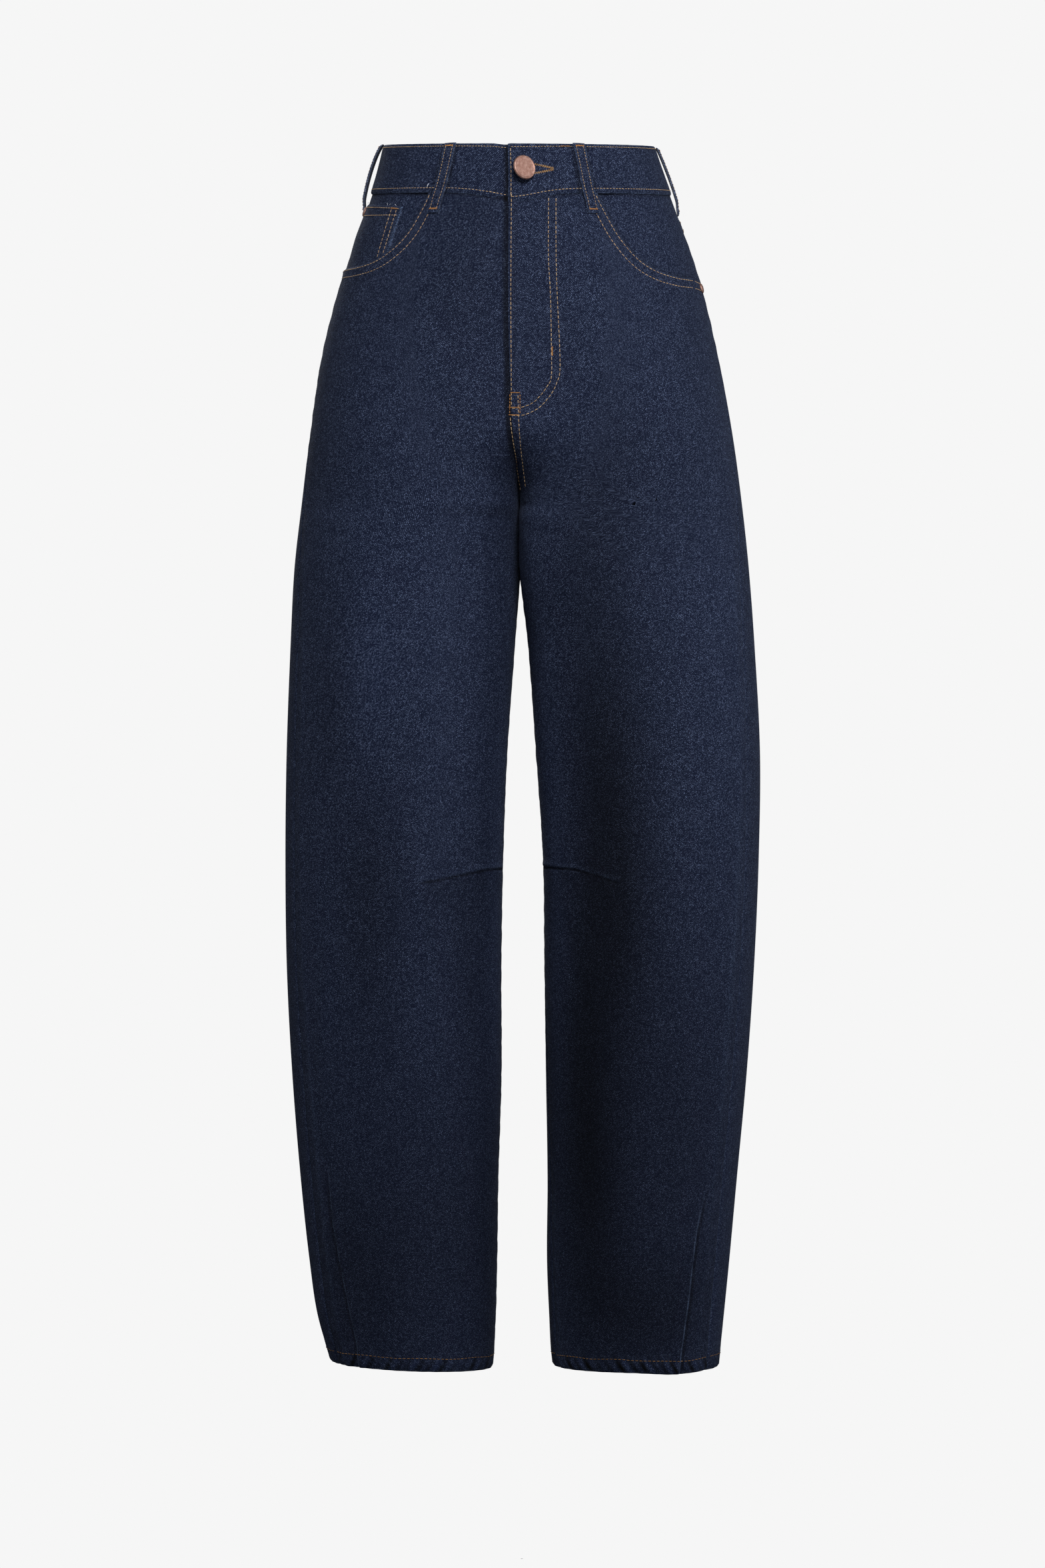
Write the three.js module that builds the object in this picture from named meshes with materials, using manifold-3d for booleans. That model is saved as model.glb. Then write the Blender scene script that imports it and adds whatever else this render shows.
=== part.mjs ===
// High-waisted barrel-leg jeans in dark denim, filled out as if worn.
// Millimetres, +Z up, the front faces -Y and the wearer's right is -X.
// The origin is the middle of the waist opening, halfway down the waistband.
// "Depth" is measured straight down from the level of the waistband's top edge at the sides.
// An angle of 0 is the outer side of a leg or hip, -90 the front, 90 the back and 180 between the legs.
import * as THREE from "three";
import { mergeVertices } from "three/addons/utils/BufferGeometryUtils.js";
import Module from "manifold-3d";

const wasm = await Module();
wasm.setup();

// Driving dimensions
const CLOTH = 1.2; // wall of one layer of denim
const SEAM_GAP = 0.3; // between pieces that are sewn together
const WAIST_DEPTH = 24; // the origin lies this far below the side's top edge
const SPREAD_START = 40; // each half begins to round towards its own leg here
const FRONT_FORK = 238; // the front seam begins to turn under here
const SEAT_FORK = 185; // and the seat seam here
const CROTCH = 305; // where the four leg panels meet
const HEM = 1021.5;
const HEM_TURN = 12; // the hem is turned up once by this much
const KNEE_PART = 0.1; // each leg panel is made in two lengths, parted by this much at the knee
const BAND = { height: 41, proud: 1.5, wall: 2.7, dip: 4.5, dipAngle: 14 };
const WAIST_TILT = { middle: 1.5, toFront: 10.5, toLeft: 1.2 }; // the top edge drops to the front and left
const FLY = { lap: 5, lapStart: 225, lapEnd: 300, length: 162 };
const ZIP = { under: 1.8, wall: 1.2 };
const SHIELD = { under: 3.4 };
const CENTRE_FRONT = -3; // the middle of the front lies this far to the wearer's right
const YOKE = { atSide: 30, more: 30 }; // depth below the band at the side, and more at the back seam
// A belt loop comes off the band between the two shares of its length in "offBand"
const LOOP = { width: 10, wall: 1.6, above: -0.4, below: 17, offBand: [0.78, 0.95] };
const BUTTON = { across: 19.5, cap: 2.6, shank: 4.6, lean: 30, depth: 34.6, turn: 4, intoCap: 0.8 };
const RIVET = { across: 8.5, high: 1.6 };

// Cross-sections of the body and both legs. Widths run out from the middle plane, gaps from the
// middle plane to the inner face of each leg, and "inner" is where that face lies between front and back.
// "side" and "inseam" are how far those seams are carried to the front, in degrees. The right leg is turned a
// little inwards, so its inseam keeps only a small share of that.
const SECTION_COLUMNS = "depth right left rightGap leftGap front back inner side inseam".split(" ");
const SECTIONS = [
  [-12, 111.5, 106, 0, 0, -87, 91, 0, 0, 0],
  [0, 114.3, 109, 0, 0, -90, 94, 0, 0, 0],
  [43, 126, 123.8, 0, 0, -99, 105, 0, 0, 0],
  [108, 150, 147, 0, 0, -107, 121, 0, 2, 0],
  [175, 168, 163.5, 0, 0, -110, 131, 0, 5.5, 0],
  [242, 178, 176, 0, 0, -110, 130, 0, 11, 0],
  [305, 185.5, 184.5, 0.2, 0.2, -108, 119, -38, 18, 0],
  [354, 190.8, 189.7, 0.25, 0.25, -107, 113, -36, 22.5, 0],
  [421, 194.2, 194.7, 4.5, 6.7, -104, 108, -30, 25.5, 0],
  [510, 197.5, 199.2, 11.2, 12.8, -99, 104, -22, 27.5, 1],
  [599, 198.6, 198.1, 15, 18.4, -94, 100, -15, 28.5, 3],
  [689, 197.5, 194.2, 16.7, 19.5, -88, 95, -11, 29.5, 7],
  [778, 193, 188, 16.7, 20.6, -81, 89, -8, 30.5, 12],
  [867, 185.8, 179.7, 19.5, 21.8, -73, 81, -5, 31.5, 17],
  [934, 178.5, 173.5, 20.6, 21.2, -66, 72, -2, 31.5, 21],
  [979, 171.9, 169, 21.8, 22.9, -61, 66, 0, 31.5, 22],
  [1011, 163, 165.7, 23.4, 24.6, -57, 61, 2, 31, 22],
  [1027, 158.5, 164, 24.5, 27, -55, 59, 2, 31, 22],
].map((row) => Object.fromEntries(SECTION_COLUMNS.map((name, k) => [name, row[k]])));
const RIGHT_INSEAM_SHARE = 0.1;

// The pocket mouth in front view: distance from the centre front, and its depth on each side.
const MOUTH_COLUMNS = ["across", "right", "left"];
const MOUTH = [
  [69.5, 49, 53],
  [76, 63, 66],
  [88, 83, 87],
  [103, 97, 104.5],
  [118, 104.5, 113.5],
  [134, 106.5, 117],
  [146, 105, 116.5],
].map((row) => Object.fromEntries(MOUTH_COLUMNS.map((name, k) => [name, row[k]])));

// Soft lengthways folds. "line" is the share of the way across the panel from the centre front, centre back
// or inseam to the side seam, and height is out from the cloth, or in where it is negative.
const FOLD_COLUMNS = "panel side line width from to height".split(" ");
const FOLDS = [
  ["front", -1, 0.46, 0.11, 380, 850, 2.6],
  ["front", -1, 0.72, 0.1, 430, 800, -1.6],
  ["front", 1, 0.5, 0.13, 420, 800, 2.2],
  ["front", 1, 0.3, 0.09, 620, 980, -2],
  ["back", -1, 0.4, 0.1, 330, 700, 2.4],
  ["back", -1, 0.62, 0.09, 560, 960, -2.2],
  ["back", 1, 0.44, 0.12, 350, 760, 2.2],
  ["back", 1, 0.22, 0.08, 300, 560, -2.4],
  ["front", 0, 0.83, 0.035, 860, HEM, -1.3],
].map((row) => Object.fromEntries(FOLD_COLUMNS.map((name, k) => [name, row[k]])));

// A dart is taken across each front at the knee, from the inseam outwards.
const KNEE_DART = { depth: 606, width: 12, drop: 10, reach: 0.46, fold: -1.5 };

// Places along and across the panels where the cloth is divided
const FRONT_LINES = [0, 0.04, 0.12, 0.22, 0.33, 0.44, 0.55, 0.66, 0.77, 0.83, 0.89, 0.95, 1];
const BACK_LINES = [0, 0.04, 0.11, 0.19, 0.28, 0.37, 0.46, 0.55, 0.64, 0.73, 0.82, 0.91, 1];
const FRONT_LEVELS = [46, 66, 88, 112, 140, 170, 200];
const YOKE_LEVELS = [40, 58, 76];
const BACK_LEVELS = [78, 98, 120, 145, 172, 200];
const LEG_LEVELS = [
  224, 242, 256, 268, 278, 287, 295, 301, 305, 311, 325, 350, 385, 425, 470, 515, 558, 594, 606, 618, 655, 700,
  745, 790, 835, 880, 925, 960, 990, HEM - HEM_TURN - 0.4, HEM - HEM_TURN, HEM,
];

const DENIM = new THREE.MeshStandardMaterial({ color: 0x222a44, roughness: 0.92, metalness: 0 });
const DENIM_DARK = new THREE.MeshStandardMaterial({ color: 0x1b2238, roughness: 0.94, metalness: 0 });
const TAPE = new THREE.MeshStandardMaterial({ color: 0x161a26, roughness: 0.8, metalness: 0 });
const COPPER = new THREE.MeshStandardMaterial({ color: 0xc4a094, roughness: 0.35, metalness: 0.9 });

const degrees = Math.PI / 180;
const ease = THREE.MathUtils.smoothstep;
const jeans = new THREE.Group();
jeans.name = "jeans";

// A section's value at any depth, on a smooth curve through the table
function section(name, depth) {
  const last = SECTIONS.length - 1;
  let i = 0;
  while (i < last - 1 && depth > SECTIONS[i + 1].depth) i += 1;
  const rise = (k) => {
    const slope = (a, b) => (SECTIONS[b][name] - SECTIONS[a][name]) / (SECTIONS[b].depth - SECTIONS[a].depth);
    if (k === 0) return slope(0, 1);
    if (k === last) return slope(last - 1, last);
    return (slope(k - 1, k) + slope(k, k + 1)) / 2;
  };
  const span = SECTIONS[i + 1].depth - SECTIONS[i].depth;
  const t = (depth - SECTIONS[i].depth) / span;
  return (
    ((2 * t - 3) * t * t + 1) * SECTIONS[i][name] +
    ((t - 2) * t + 1) * t * span * rise(i) +
    (3 - 2 * t) * t * t * SECTIONS[i + 1][name] +
    (t - 1) * t * t * span * rise(i + 1)
  );
}

// How far each half has rounded towards its own leg: 0 at the waist, 1 from the crotch down
const spread = (depth) => ease(depth, SPREAD_START, CROTCH);
// How deep the cleft between the halves is, as a share of its depth between the legs
const cleft = (depth, isFront) => ease(depth, isFront ? FRONT_FORK : SEAT_FORK, CROTCH);
const middle = (depth) => ((section("left", depth) - section("right", depth)) / 2) * (1 - spread(depth));
const fork = (depth) => Math.acos(-spread(depth));
const sideTurn = (depth) => Math.max(0, section("side", depth)) * degrees;
const inseamTurn = (side, depth) =>
  Math.max(0, section("inseam", depth)) * degrees * (side < 0 ? RIGHT_INSEAM_SHARE : 1);
const flyLap = (depth) => FLY.lap * (1 - ease(depth, FLY.lapStart, FLY.lapEnd));

// Half-width and centre of one side's section
function halfSection(side, depth) {
  const apart = spread(depth);
  const outer = section(side < 0 ? "right" : "left", depth) - side * middle(depth);
  const gap = apart < 1 ? 0 : Math.max(0, section(side < 0 ? "rightGap" : "leftGap", depth));
  const half = (outer - gap) / (1 + apart);
  return { half, centre: outer - half, apart };
}

// A point of the cloth's outer face; side is -1 on the wearer's right and 1 on the left
function face(side, angle, depth) {
  const { half, centre, apart } = halfSection(side, depth);
  const front = section("front", depth);
  const back = section("back", depth);
  const sideY = (front + back) / 2;
  const innerY = sideY + (section("inner", depth) - sideY) * apart * apart;
  const mid = (sideY + innerY) / 2;
  const [c, s] = [Math.cos(angle), Math.sin(angle)];
  // Between the middle of each half and the seam the body is full, and falls in only at the cleft
  const full = c < 0 ? THREE.MathUtils.lerp(Math.sign(s), s, cleft(depth, s < 0)) : s;
  return new THREE.Vector3(
    middle(depth) + side * (centre + half * c),
    (sideY * (1 + c) + innerY * (1 - c)) / 2 + (s < 0 ? mid - front : back - mid) * full,
    WAIST_DEPTH - depth,
  );
}

function outward(side, angle, depth) {
  const [turn, drop] = [0.01, 1];
  const along = face(side, angle + turn, depth).sub(face(side, angle - turn, depth));
  const down = face(side, angle, depth + drop).sub(face(side, angle, depth - drop));
  return down.cross(along).multiplyScalar(side).normalize();
}

// The same point moved out, or in, from the cloth's face
function moved(side, angle, depth, out) {
  return face(side, angle, depth).addScaledVector(outward(side, angle, depth), out);
}

// One closed wall between two faces of a grid, face 0 outside and face 1 inside
function wall(columns, rows, point) {
  const positions = [];
  for (const layer of [0, 1])
    for (let j = 0; j < rows; j += 1)
      for (let i = 0; i < columns; i += 1) positions.push(...point(i, j, layer).toArray());
  const at = (i, j, layer) => (layer * rows + j) * columns + i;
  const index = [];
  const quad = (a, b, c, d) => index.push(a, b, c, a, c, d);
  for (let j = 0; j < rows - 1; j += 1)
    for (let i = 0; i < columns - 1; i += 1) {
      quad(at(i, j, 0), at(i, j + 1, 0), at(i + 1, j + 1, 0), at(i + 1, j, 0));
      quad(at(i, j, 1), at(i + 1, j, 1), at(i + 1, j + 1, 1), at(i, j + 1, 1));
    }
  const [right, bottom] = [columns - 1, rows - 1];
  for (let i = 0; i < right; i += 1) {
    quad(at(i, 0, 0), at(i + 1, 0, 0), at(i + 1, 0, 1), at(i, 0, 1));
    quad(at(i + 1, bottom, 0), at(i, bottom, 0), at(i, bottom, 1), at(i + 1, bottom, 1));
  }
  for (let j = 0; j < bottom; j += 1) {
    quad(at(0, j + 1, 0), at(0, j, 0), at(0, j, 1), at(0, j + 1, 1));
    quad(at(right, j, 0), at(right, j + 1, 0), at(right, j + 1, 1), at(right, j, 1));
  }
  return facingOut(positions, index);
}

// Turns the faces round where the grid ran the other way
function facingOut(positions, index) {
  const [a, b, c] = [new THREE.Vector3(), new THREE.Vector3(), new THREE.Vector3()];
  let volume = 0;
  for (let k = 0; k < index.length; k += 3) {
    [a, b, c].forEach((v, m) => v.fromArray(positions, index[k + m] * 3));
    volume += a.dot(b.cross(c));
  }
  if (volume < 0) for (let k = 0; k < index.length; k += 3) [index[k], index[k + 1]] = [index[k + 1], index[k]];
  const geometry = new THREE.BufferGeometry();
  geometry.setAttribute("position", new THREE.Float32BufferAttribute(positions, 3));
  geometry.setIndex(index);
  return geometry;
}

function add(name, geometry, material) {
  geometry.computeVertexNormals();
  const mesh = new THREE.Mesh(geometry, material);
  mesh.name = name;
  jeans.add(mesh);
  return mesh;
}

function solid(geometry) {
  const plain = geometry.clone();
  plain.deleteAttribute("normal");
  plain.deleteAttribute("uv");
  const merged = mergeVertices(plain, 1e-4);
  const mesh = new wasm.Mesh({
    numProp: 3,
    vertProperties: new Float32Array(merged.attributes.position.array),
    triVerts: new Uint32Array(merged.index.array),
  });
  return new wasm.Manifold(mesh);
}

function geometryOf(manifold) {
  const mesh = manifold.getMesh();
  const geometry = new THREE.BufferGeometry();
  geometry.setAttribute("position", new THREE.BufferAttribute(new Float32Array(mesh.vertProperties), 3));
  geometry.setIndex(new THREE.BufferAttribute(new Uint32Array(mesh.triVerts), 1));
  return geometry;
}

// A cutter pushed through the cloth from front to back, between two places along Y, from an outline
// in the front view given as across (X) and depth
function cutter(outline, fromY, toY) {
  const shape = new THREE.Shape(outline.map(([x, depth]) => new THREE.Vector2(x, WAIST_DEPTH - depth)));
  const prism = new THREE.ExtrudeGeometry(shape, { depth: toY - fromY, bevelEnabled: false, steps: 1 });
  return solid(prism.rotateX(Math.PI / 2).translate(0, toY, 0));
}

// Waistband lines: its top edge runs on a tilted plane, and its seam dips at the centre front
function bandTop(side, angle) {
  return WAIST_TILT.middle - WAIST_TILT.toFront * Math.sin(angle) + WAIST_TILT.toLeft * side * Math.cos(angle);
}

function bandSeam(side, angle) {
  const fromFront = (angle / degrees + 90) / BAND.dipAngle;
  return bandTop(side, angle) + BAND.height + BAND.dip * Math.exp(-fromFront * fromFront);
}

function yokeSeam(side, angle) {
  return bandSeam(side, angle) + YOKE.atSide + YOKE.more * Math.max(0, Math.sin(angle));
}

// Height of the soft folds at a place on a panel
function foldHeight(panel, side, line, depth) {
  let height = 0;
  for (const fold of FOLDS) {
    if (fold.panel !== panel || (fold.side !== 0 && fold.side !== side)) continue;
    const off = (line - fold.line) / fold.width;
    const ramp = Math.min(120, (fold.to - fold.from) / 3);
    const end = fold.to === HEM ? 1 : 1 - ease(depth, fold.to - ramp, fold.to);
    height += fold.height * Math.exp(-off * off) * ease(depth, fold.from, fold.from + ramp) * end;
  }
  return height;
}

// A panel is a grid of lines from its inner edge (centre front, centre back or inseam) to the side seam
// and of levels from its top seam to the hem.
const PANELS = {
  front: {
    lines: FRONT_LINES,
    levels: [...FRONT_LEVELS, ...LEG_LEVELS],
    top: bandSeam,
    blend: FRONT_LEVELS.length - 1,
    edges: (side, depth) => {
      const { half } = halfSection(side, depth);
      const inner = -fork(depth) + inseamTurn(side, depth) - (side * flyLap(depth)) / half;
      return [inner, -sideTurn(depth)];
    },
  },
  yoke: {
    lines: BACK_LINES,
    levels: YOKE_LEVELS,
    top: bandSeam,
    bottom: yokeSeam,
    blend: 1,
    edges: (side, depth) => [fork(depth), -sideTurn(depth)],
  },
  back: {
    lines: BACK_LINES,
    levels: [...BACK_LEVELS, ...LEG_LEVELS],
    top: yokeSeam,
    blend: BACK_LEVELS.length - 1,
    edges: (side, depth) => [fork(depth) + inseamTurn(side, depth), -sideTurn(depth)],
  },
};

// The angle of one of a panel's lines at a depth, half a seam gap short of each edge
function lineAngle(panel, side, line, depth) {
  const ends = PANELS[panel].edges(side, depth);
  const toward = Math.sign(ends[1] - ends[0]);
  const inset = ends.map((angle, k) => {
    const reach = face(side, angle + 0.01, depth).distanceTo(face(side, angle - 0.01, depth)) / 0.02;
    return angle + (k === 0 ? toward : -toward) * (SEAM_GAP / 2 / reach);
  });
  return THREE.MathUtils.lerp(inset[0], inset[1], line);
}

// The angle and depth of one crossing of a panel's grid: upper levels follow the seam above them
function crossing(panel, side, i, j) {
  const { lines, levels, top, bottom, blend } = PANELS[panel];
  const depthFor = (angle) => {
    const start = top(side, angle) + SEAM_GAP / 2;
    if (bottom) return THREE.MathUtils.lerp(start, bottom(side, angle) - SEAM_GAP / 2, j / (levels.length - 1));
    const fade = 1 - ease(j, 0, blend);
    const dart = panel === "front" && Math.abs(levels[j] - KNEE_DART.depth) <= KNEE_DART.width;
    const drop = dart ? KNEE_DART.drop * Math.min(1, lines[i] / KNEE_DART.reach) : 0;
    return levels[j] + (start - levels[0]) * fade + drop;
  };
  const depth = depthFor(lineAngle(panel, side, lines[i], levels[j]));
  const angle = lineAngle(panel, side, lines[i], depth);
  return { angle, depth: depthFor(angle) };
}

// A point of a layer that lies on, or under, a panel, at "out" from the panel's face
function onPanel(panel, side, i, j, out) {
  const { angle, depth } = crossing(panel, side, i, j);
  const line = PANELS[panel].lines[i];
  let relief = foldHeight(panel, side, line, depth);
  if (panel === "front" && PANELS.front.levels[j] === KNEE_DART.depth)
    relief += KNEE_DART.fold * (1 - ease(line, KNEE_DART.reach * 0.6, KNEE_DART.reach));
  const point = moved(side, angle, depth, out + relief);
  const lap = panel === "front" ? side * flyLap(depth) : 0;
  const nearest = SEAM_GAP / 2 - lap;
  const across = Math.max(nearest, side * (point.x - middle(depth)));
  point.x = middle(depth) + side * across;
  return point;
}

// A layer over part of a panel's grid, between two distances from the panel's face
function layer(panel, side, [firstLine, lastLine], [firstLevel, lastLevel], outer, inner) {
  return wall(lastLine - firstLine + 1, lastLevel - firstLevel + 1, (i, j, k) =>
    onPanel(panel, side, firstLine + i, firstLevel + j, k === 0 ? outer : inner),
  );
}

// The two lengths of a leg panel, above and below the knee, doubled on the inside where the hem is turned up
function legPanel(panel, side) {
  const { lines, levels } = PANELS[panel];
  const knee = levels.indexOf(KNEE_DART.depth);
  const length = (first, last) =>
    wall(lines.length, last - first + 1, (i, row, k) => {
      const j = first + row;
      const doubled = levels[j] > HEM - HEM_TURN - 0.1 ? 2 : 1;
      const point = onPanel(panel, side, i, j, k === 0 ? 0 : -CLOTH * doubled);
      if (j === knee) point.z += (first === knee ? -1 : 1) * (KNEE_PART / 2);
      return point;
    });
  return { upper: length(0, knee), lower: length(knee, levels.length - 1) };
}

// Cutters start and end beyond the cloth by these places
const CUT = { front: -200, middle: 60, inside: 10, back: 220, side: 210, above: 30, slope: 5 };

// The pocket mouth's curve on one side, as [x, depth], moved up by an allowance
function mouthCurve(side, up) {
  const name = side < 0 ? "right" : "left";
  const knots = MOUTH.map((row) => new THREE.Vector2(CENTRE_FRONT + side * (row.across + up), row[name] - up));
  return new THREE.SplineCurve(knots).getPoints(18).map((p) => [p.x, p.y]);
}

// The facing runs from this line of the front to the side seam, and from the band down to this level
const FACING = { line: 4, level: 4 };

const SIDES = [
  { side: -1, name: "right" },
  { side: 1, name: "left" },
];

for (const { side, name } of SIDES) {
  // Front: cut away along the pocket mouth
  const curve = mouthCurve(side, 0);
  const beyond = CUT.side * side;
  const corners = [
    [beyond, curve[curve.length - 1][1]],
    [beyond, CUT.above],
    [curve[0][0] - side * CUT.slope, CUT.above],
  ];
  const mouth = cutter([...curve, ...corners], CUT.front, CUT.middle);
  const front = legPanel("front", side);
  add(`front_${name}`, geometryOf(solid(front.upper).subtract(mouth)), DENIM);
  add(`front_${name}_lower`, front.lower, DENIM);

  // Facing of the front pocket, one layer under the front, seen inside the mouth
  const under = -(CLOTH + SEAM_GAP);
  const facingLines = [FACING.line, FRONT_LINES.length - 1];
  const facing = layer("front", side, facingLines, [0, FACING.level], under, under - CLOTH);
  add(`pocket_facing_${name}`, facing, DENIM_DARK);

  // Back: the yoke, the seat with its leg, and the patch pocket on it
  const yokeLast = YOKE_LEVELS.length - 1;
  add(`yoke_${name}`, layer("yoke", side, [0, BACK_LINES.length - 1], [0, yokeLast], 0, -CLOTH), DENIM);
  const back = legPanel("back", side);
  add(`back_${name}`, back.upper, DENIM);
  add(`back_${name}_lower`, back.lower, DENIM);
}

// Coin pocket, on the right facing: its foot runs into the mouth
{
  const outerCorner = [-140, 50];
  const innerCorner = [-95.1, 60.3];
  const slantFoot = [-108, 98];
  const foot = mouthCurve(-1, SEAM_GAP * 2)
    .reverse()
    .filter(([x]) => x < slantFoot[0]);
  const beyond = [
    [-CUT.side, outerCorner[1]],
    [-CUT.side, foot[0][1]],
  ];
  const outline = [outerCorner, ...beyond, ...foot, slantFoot, innerCorner];
  const sheetLines = [FACING.line + 1, FRONT_LINES.length - 1];
  const sheet = layer("front", -1, sheetLines, [0, FACING.level], -SEAM_GAP, -CLOTH);
  add("coin_pocket", geometryOf(solid(sheet).intersect(cutter(outline, CUT.front, CUT.middle))), DENIM_DARK);
}

// Back pockets: pointed patches on the seat, in back view from the centre back out
const BACK_POCKET = [
  [24, 122],
  [138, 114],
  [131, 236],
  [82, 262],
  [31, 242],
];
const PATCH = { line: 9, level: 10 }; // the part of the back's grid that they are cut from
for (const { side, name } of SIDES) {
  const sheet = layer("back", side, [0, PATCH.line], [0, PATCH.level], SEAM_GAP + CLOTH, SEAM_GAP);
  const outline = BACK_POCKET.map(([x, depth]) => [side * x, depth]);
  add(`back_pocket_${name}`, geometryOf(solid(sheet).intersect(cutter(outline, CUT.inside, CUT.back))), DENIM);
}

// Around the waist: turn is measured in degrees from the centre front towards the wearer's left
function around(turn, depthAt, out) {
  const wrapped = ((turn % 360) + 360) % 360;
  const side = wrapped <= 180 ? 1 : -1;
  const share = (side > 0 ? wrapped : 360 - wrapped) / 180;
  const depth = depthAt(side, (share - 0.5) * Math.PI);
  return moved(side, (2 * share - 1) * fork(depth), depth, out);
}

// Waistband: one strip. Its left end laps over its right end, which steps in behind it.
{
  const lapTurn = -2.4;
  const tuck = { from: 351, between: 354, to: 356.6 };
  const step = 7.5;
  const turns = [lapTurn, 0];
  for (let turn = step; turn < tuck.from; turn += step) turns.push(turn);
  turns.push(tuck.from, tuck.between, tuck.to, 360 + lapTurn, 360, 360 + step, 360 + 2 * step);
  const shares = [0, 0.35, 0.7, 1];
  const band = wall(turns.length, shares.length, (i, j, k) => {
    const tucked = ease(turns[i], tuck.from, tuck.to) * (BAND.wall + SEAM_GAP);
    const out = (k === 0 ? BAND.proud : BAND.proud - BAND.wall) - tucked;
    const depthAt = (side, angle) =>
      THREE.MathUtils.lerp(bandTop(side, angle), bandSeam(side, angle) - SEAM_GAP / 2, shares[j]);
    return around(turns[i], depthAt, out);
  });
  // Buttonhole: open where the shank stands, closing to a slit on the wearer's left. It goes through the
  // upper end of the strip alone.
  const hole = [
    [1.8, 0.5],
    [2.6, 3],
    [4.6, 3.4],
    [8.5, 2],
    [12.3, 0.45],
  ];
  const slot = wall(hole.length, 2, (i, j, k) => {
    const depthAt = () => BUTTON.depth + (j === 0 ? -1 : 1) * hole[i][1];
    return around(hole[i][0], depthAt, BAND.proud + (k === 0 ? BAND.wall : -BAND.wall - SEAM_GAP / 2));
  });
  add("waistband", geometryOf(solid(band).subtract(solid(slot))), DENIM);
}

// Belt loops: folded strips that stand off the band between their sewn ends
const LOOPS = [
  { name: "belt_loop_front_right", side: -1, top: -63.4, foot: -60.7, bow: 0.9 },
  { name: "belt_loop_front_left", side: 1, top: -63.1, foot: -62.6, bow: 0.9 },
  { name: "belt_loop_side_right", side: -1, top: 3, foot: 3, bow: 5.2 },
  { name: "belt_loop_side_left", side: 1, top: 3, foot: 3, bow: 4.4 },
  { name: "belt_loop_back", side: 1, top: 90, foot: 90, bow: 1.6 },
];
for (const loop of LOOPS) {
  const steps = 12;
  const geometry = wall(3, steps + 1, (i, j, k) => {
    const t = j / steps;
    const centre = THREE.MathUtils.lerp(loop.top, loop.foot, t) * degrees;
    const depth = THREE.MathUtils.lerp(
      bandTop(loop.side, centre) + LOOP.above,
      bandSeam(loop.side, centre) + LOOP.below,
      t,
    );
    const reach = face(loop.side, centre + 0.01, depth).distanceTo(face(loop.side, centre - 0.01, depth)) / 0.02;
    const angle = centre + ((i - 1) * LOOP.width) / 2 / reach;
    const onBand = 1 - ease(t, ...LOOP.offBand);
    const stand = SEAM_GAP + BAND.proud * onBand + loop.bow * Math.sqrt(Math.max(0, Math.sin(Math.PI * t)));
    return moved(loop.side, angle, depth, stand + (k === 0 ? LOOP.wall : 0));
  });
  add(loop.name, geometry, DENIM);
}

// Fly: a plain closed zip and the shield behind it, both under the left front
{
  const strip = (turns, levels, outer, inner) =>
    wall(turns.length, levels.length, (i, j, k) =>
      around(
        turns[i],
        (side, angle) => bandSeam(side, angle) + SEAM_GAP + FLY.length * levels[j],
        k === 0 ? outer : inner,
      ),
    );
  const levels = [0, 0.17, 0.34, 0.5, 0.67, 0.84, 1];
  add("fly_zip", strip([-1, 1.5, 4, 6.5, 9], levels, -ZIP.under, -ZIP.under - ZIP.wall), TAPE);
  add("fly_shield", strip([-3, 0, 3, 6, 9, 12], levels, -SHIELD.under, -SHIELD.under - CLOTH), DENIM_DARK);
}

// Turned metal pieces stand on the cloth with their axis along its outward direction
function turned(name, profile, place, direction) {
  const geometry = new THREE.LatheGeometry(
    profile.map(([radius, height]) => new THREE.Vector2(radius, height)),
    24,
  );
  const up = new THREE.Vector3(0, 1, 0);
  geometry.applyQuaternion(new THREE.Quaternion().setFromUnitVectors(up, direction));
  geometry.translate(...place.toArray());
  add(name, geometryOf(solid(geometry)), COPPER);
}

// The button's cap: in from its edge, and height. A rounded rim stands round a shallow dish.
const CAP_PROFILE = [
  [BUTTON.across / 2, 0],
  [0.8, 0],
  [0, 0.7],
  [0, 1.7],
  [0.7, BUTTON.cap],
  [1.5, BUTTON.cap],
  [1.9, BUTTON.cap - 0.35],
  [BUTTON.across / 2, BUTTON.cap - 0.25],
];

// Button: a shank from the tucked end of the band, through the buttonhole, to a leaning cap
{
  const turn = BUTTON.turn;
  const depthAt = () => BUTTON.depth;
  const angle = (turn - 90) * degrees;
  const straight = outward(1, angle, BUTTON.depth);
  const capLift = BAND.proud + SEAM_GAP + (BUTTON.across / 2) * Math.sin(BUTTON.lean * degrees);
  const foot = around(turn, depthAt, BAND.proud - BAND.wall);
  const capFoot = around(turn, depthAt, capLift);
  const leaned = straight.clone().applyAxisAngle(new THREE.Vector3(0, 0, 1), BUTTON.lean * degrees);
  const radius = BUTTON.across / 2;
  const points = CAP_PROFILE.map(([inset, height]) => new THREE.Vector2(Math.max(0, radius - inset), height));
  const cap = new THREE.LatheGeometry(points, 32);
  const up = new THREE.Vector3(0, 1, 0);
  cap.applyQuaternion(new THREE.Quaternion().setFromUnitVectors(up, leaned)).translate(...capFoot.toArray());
  const length = capFoot.distanceTo(foot) + BUTTON.intoCap;
  const shank = new THREE.CylinderGeometry(BUTTON.shank / 2, BUTTON.shank / 2, length, 16);
  shank.translate(0, length / 2, 0);
  shank.applyQuaternion(new THREE.Quaternion().setFromUnitVectors(up, straight)).translate(...foot.toArray());
  add("button", geometryOf(solid(cap).add(solid(shank))), COPPER);
}

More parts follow.
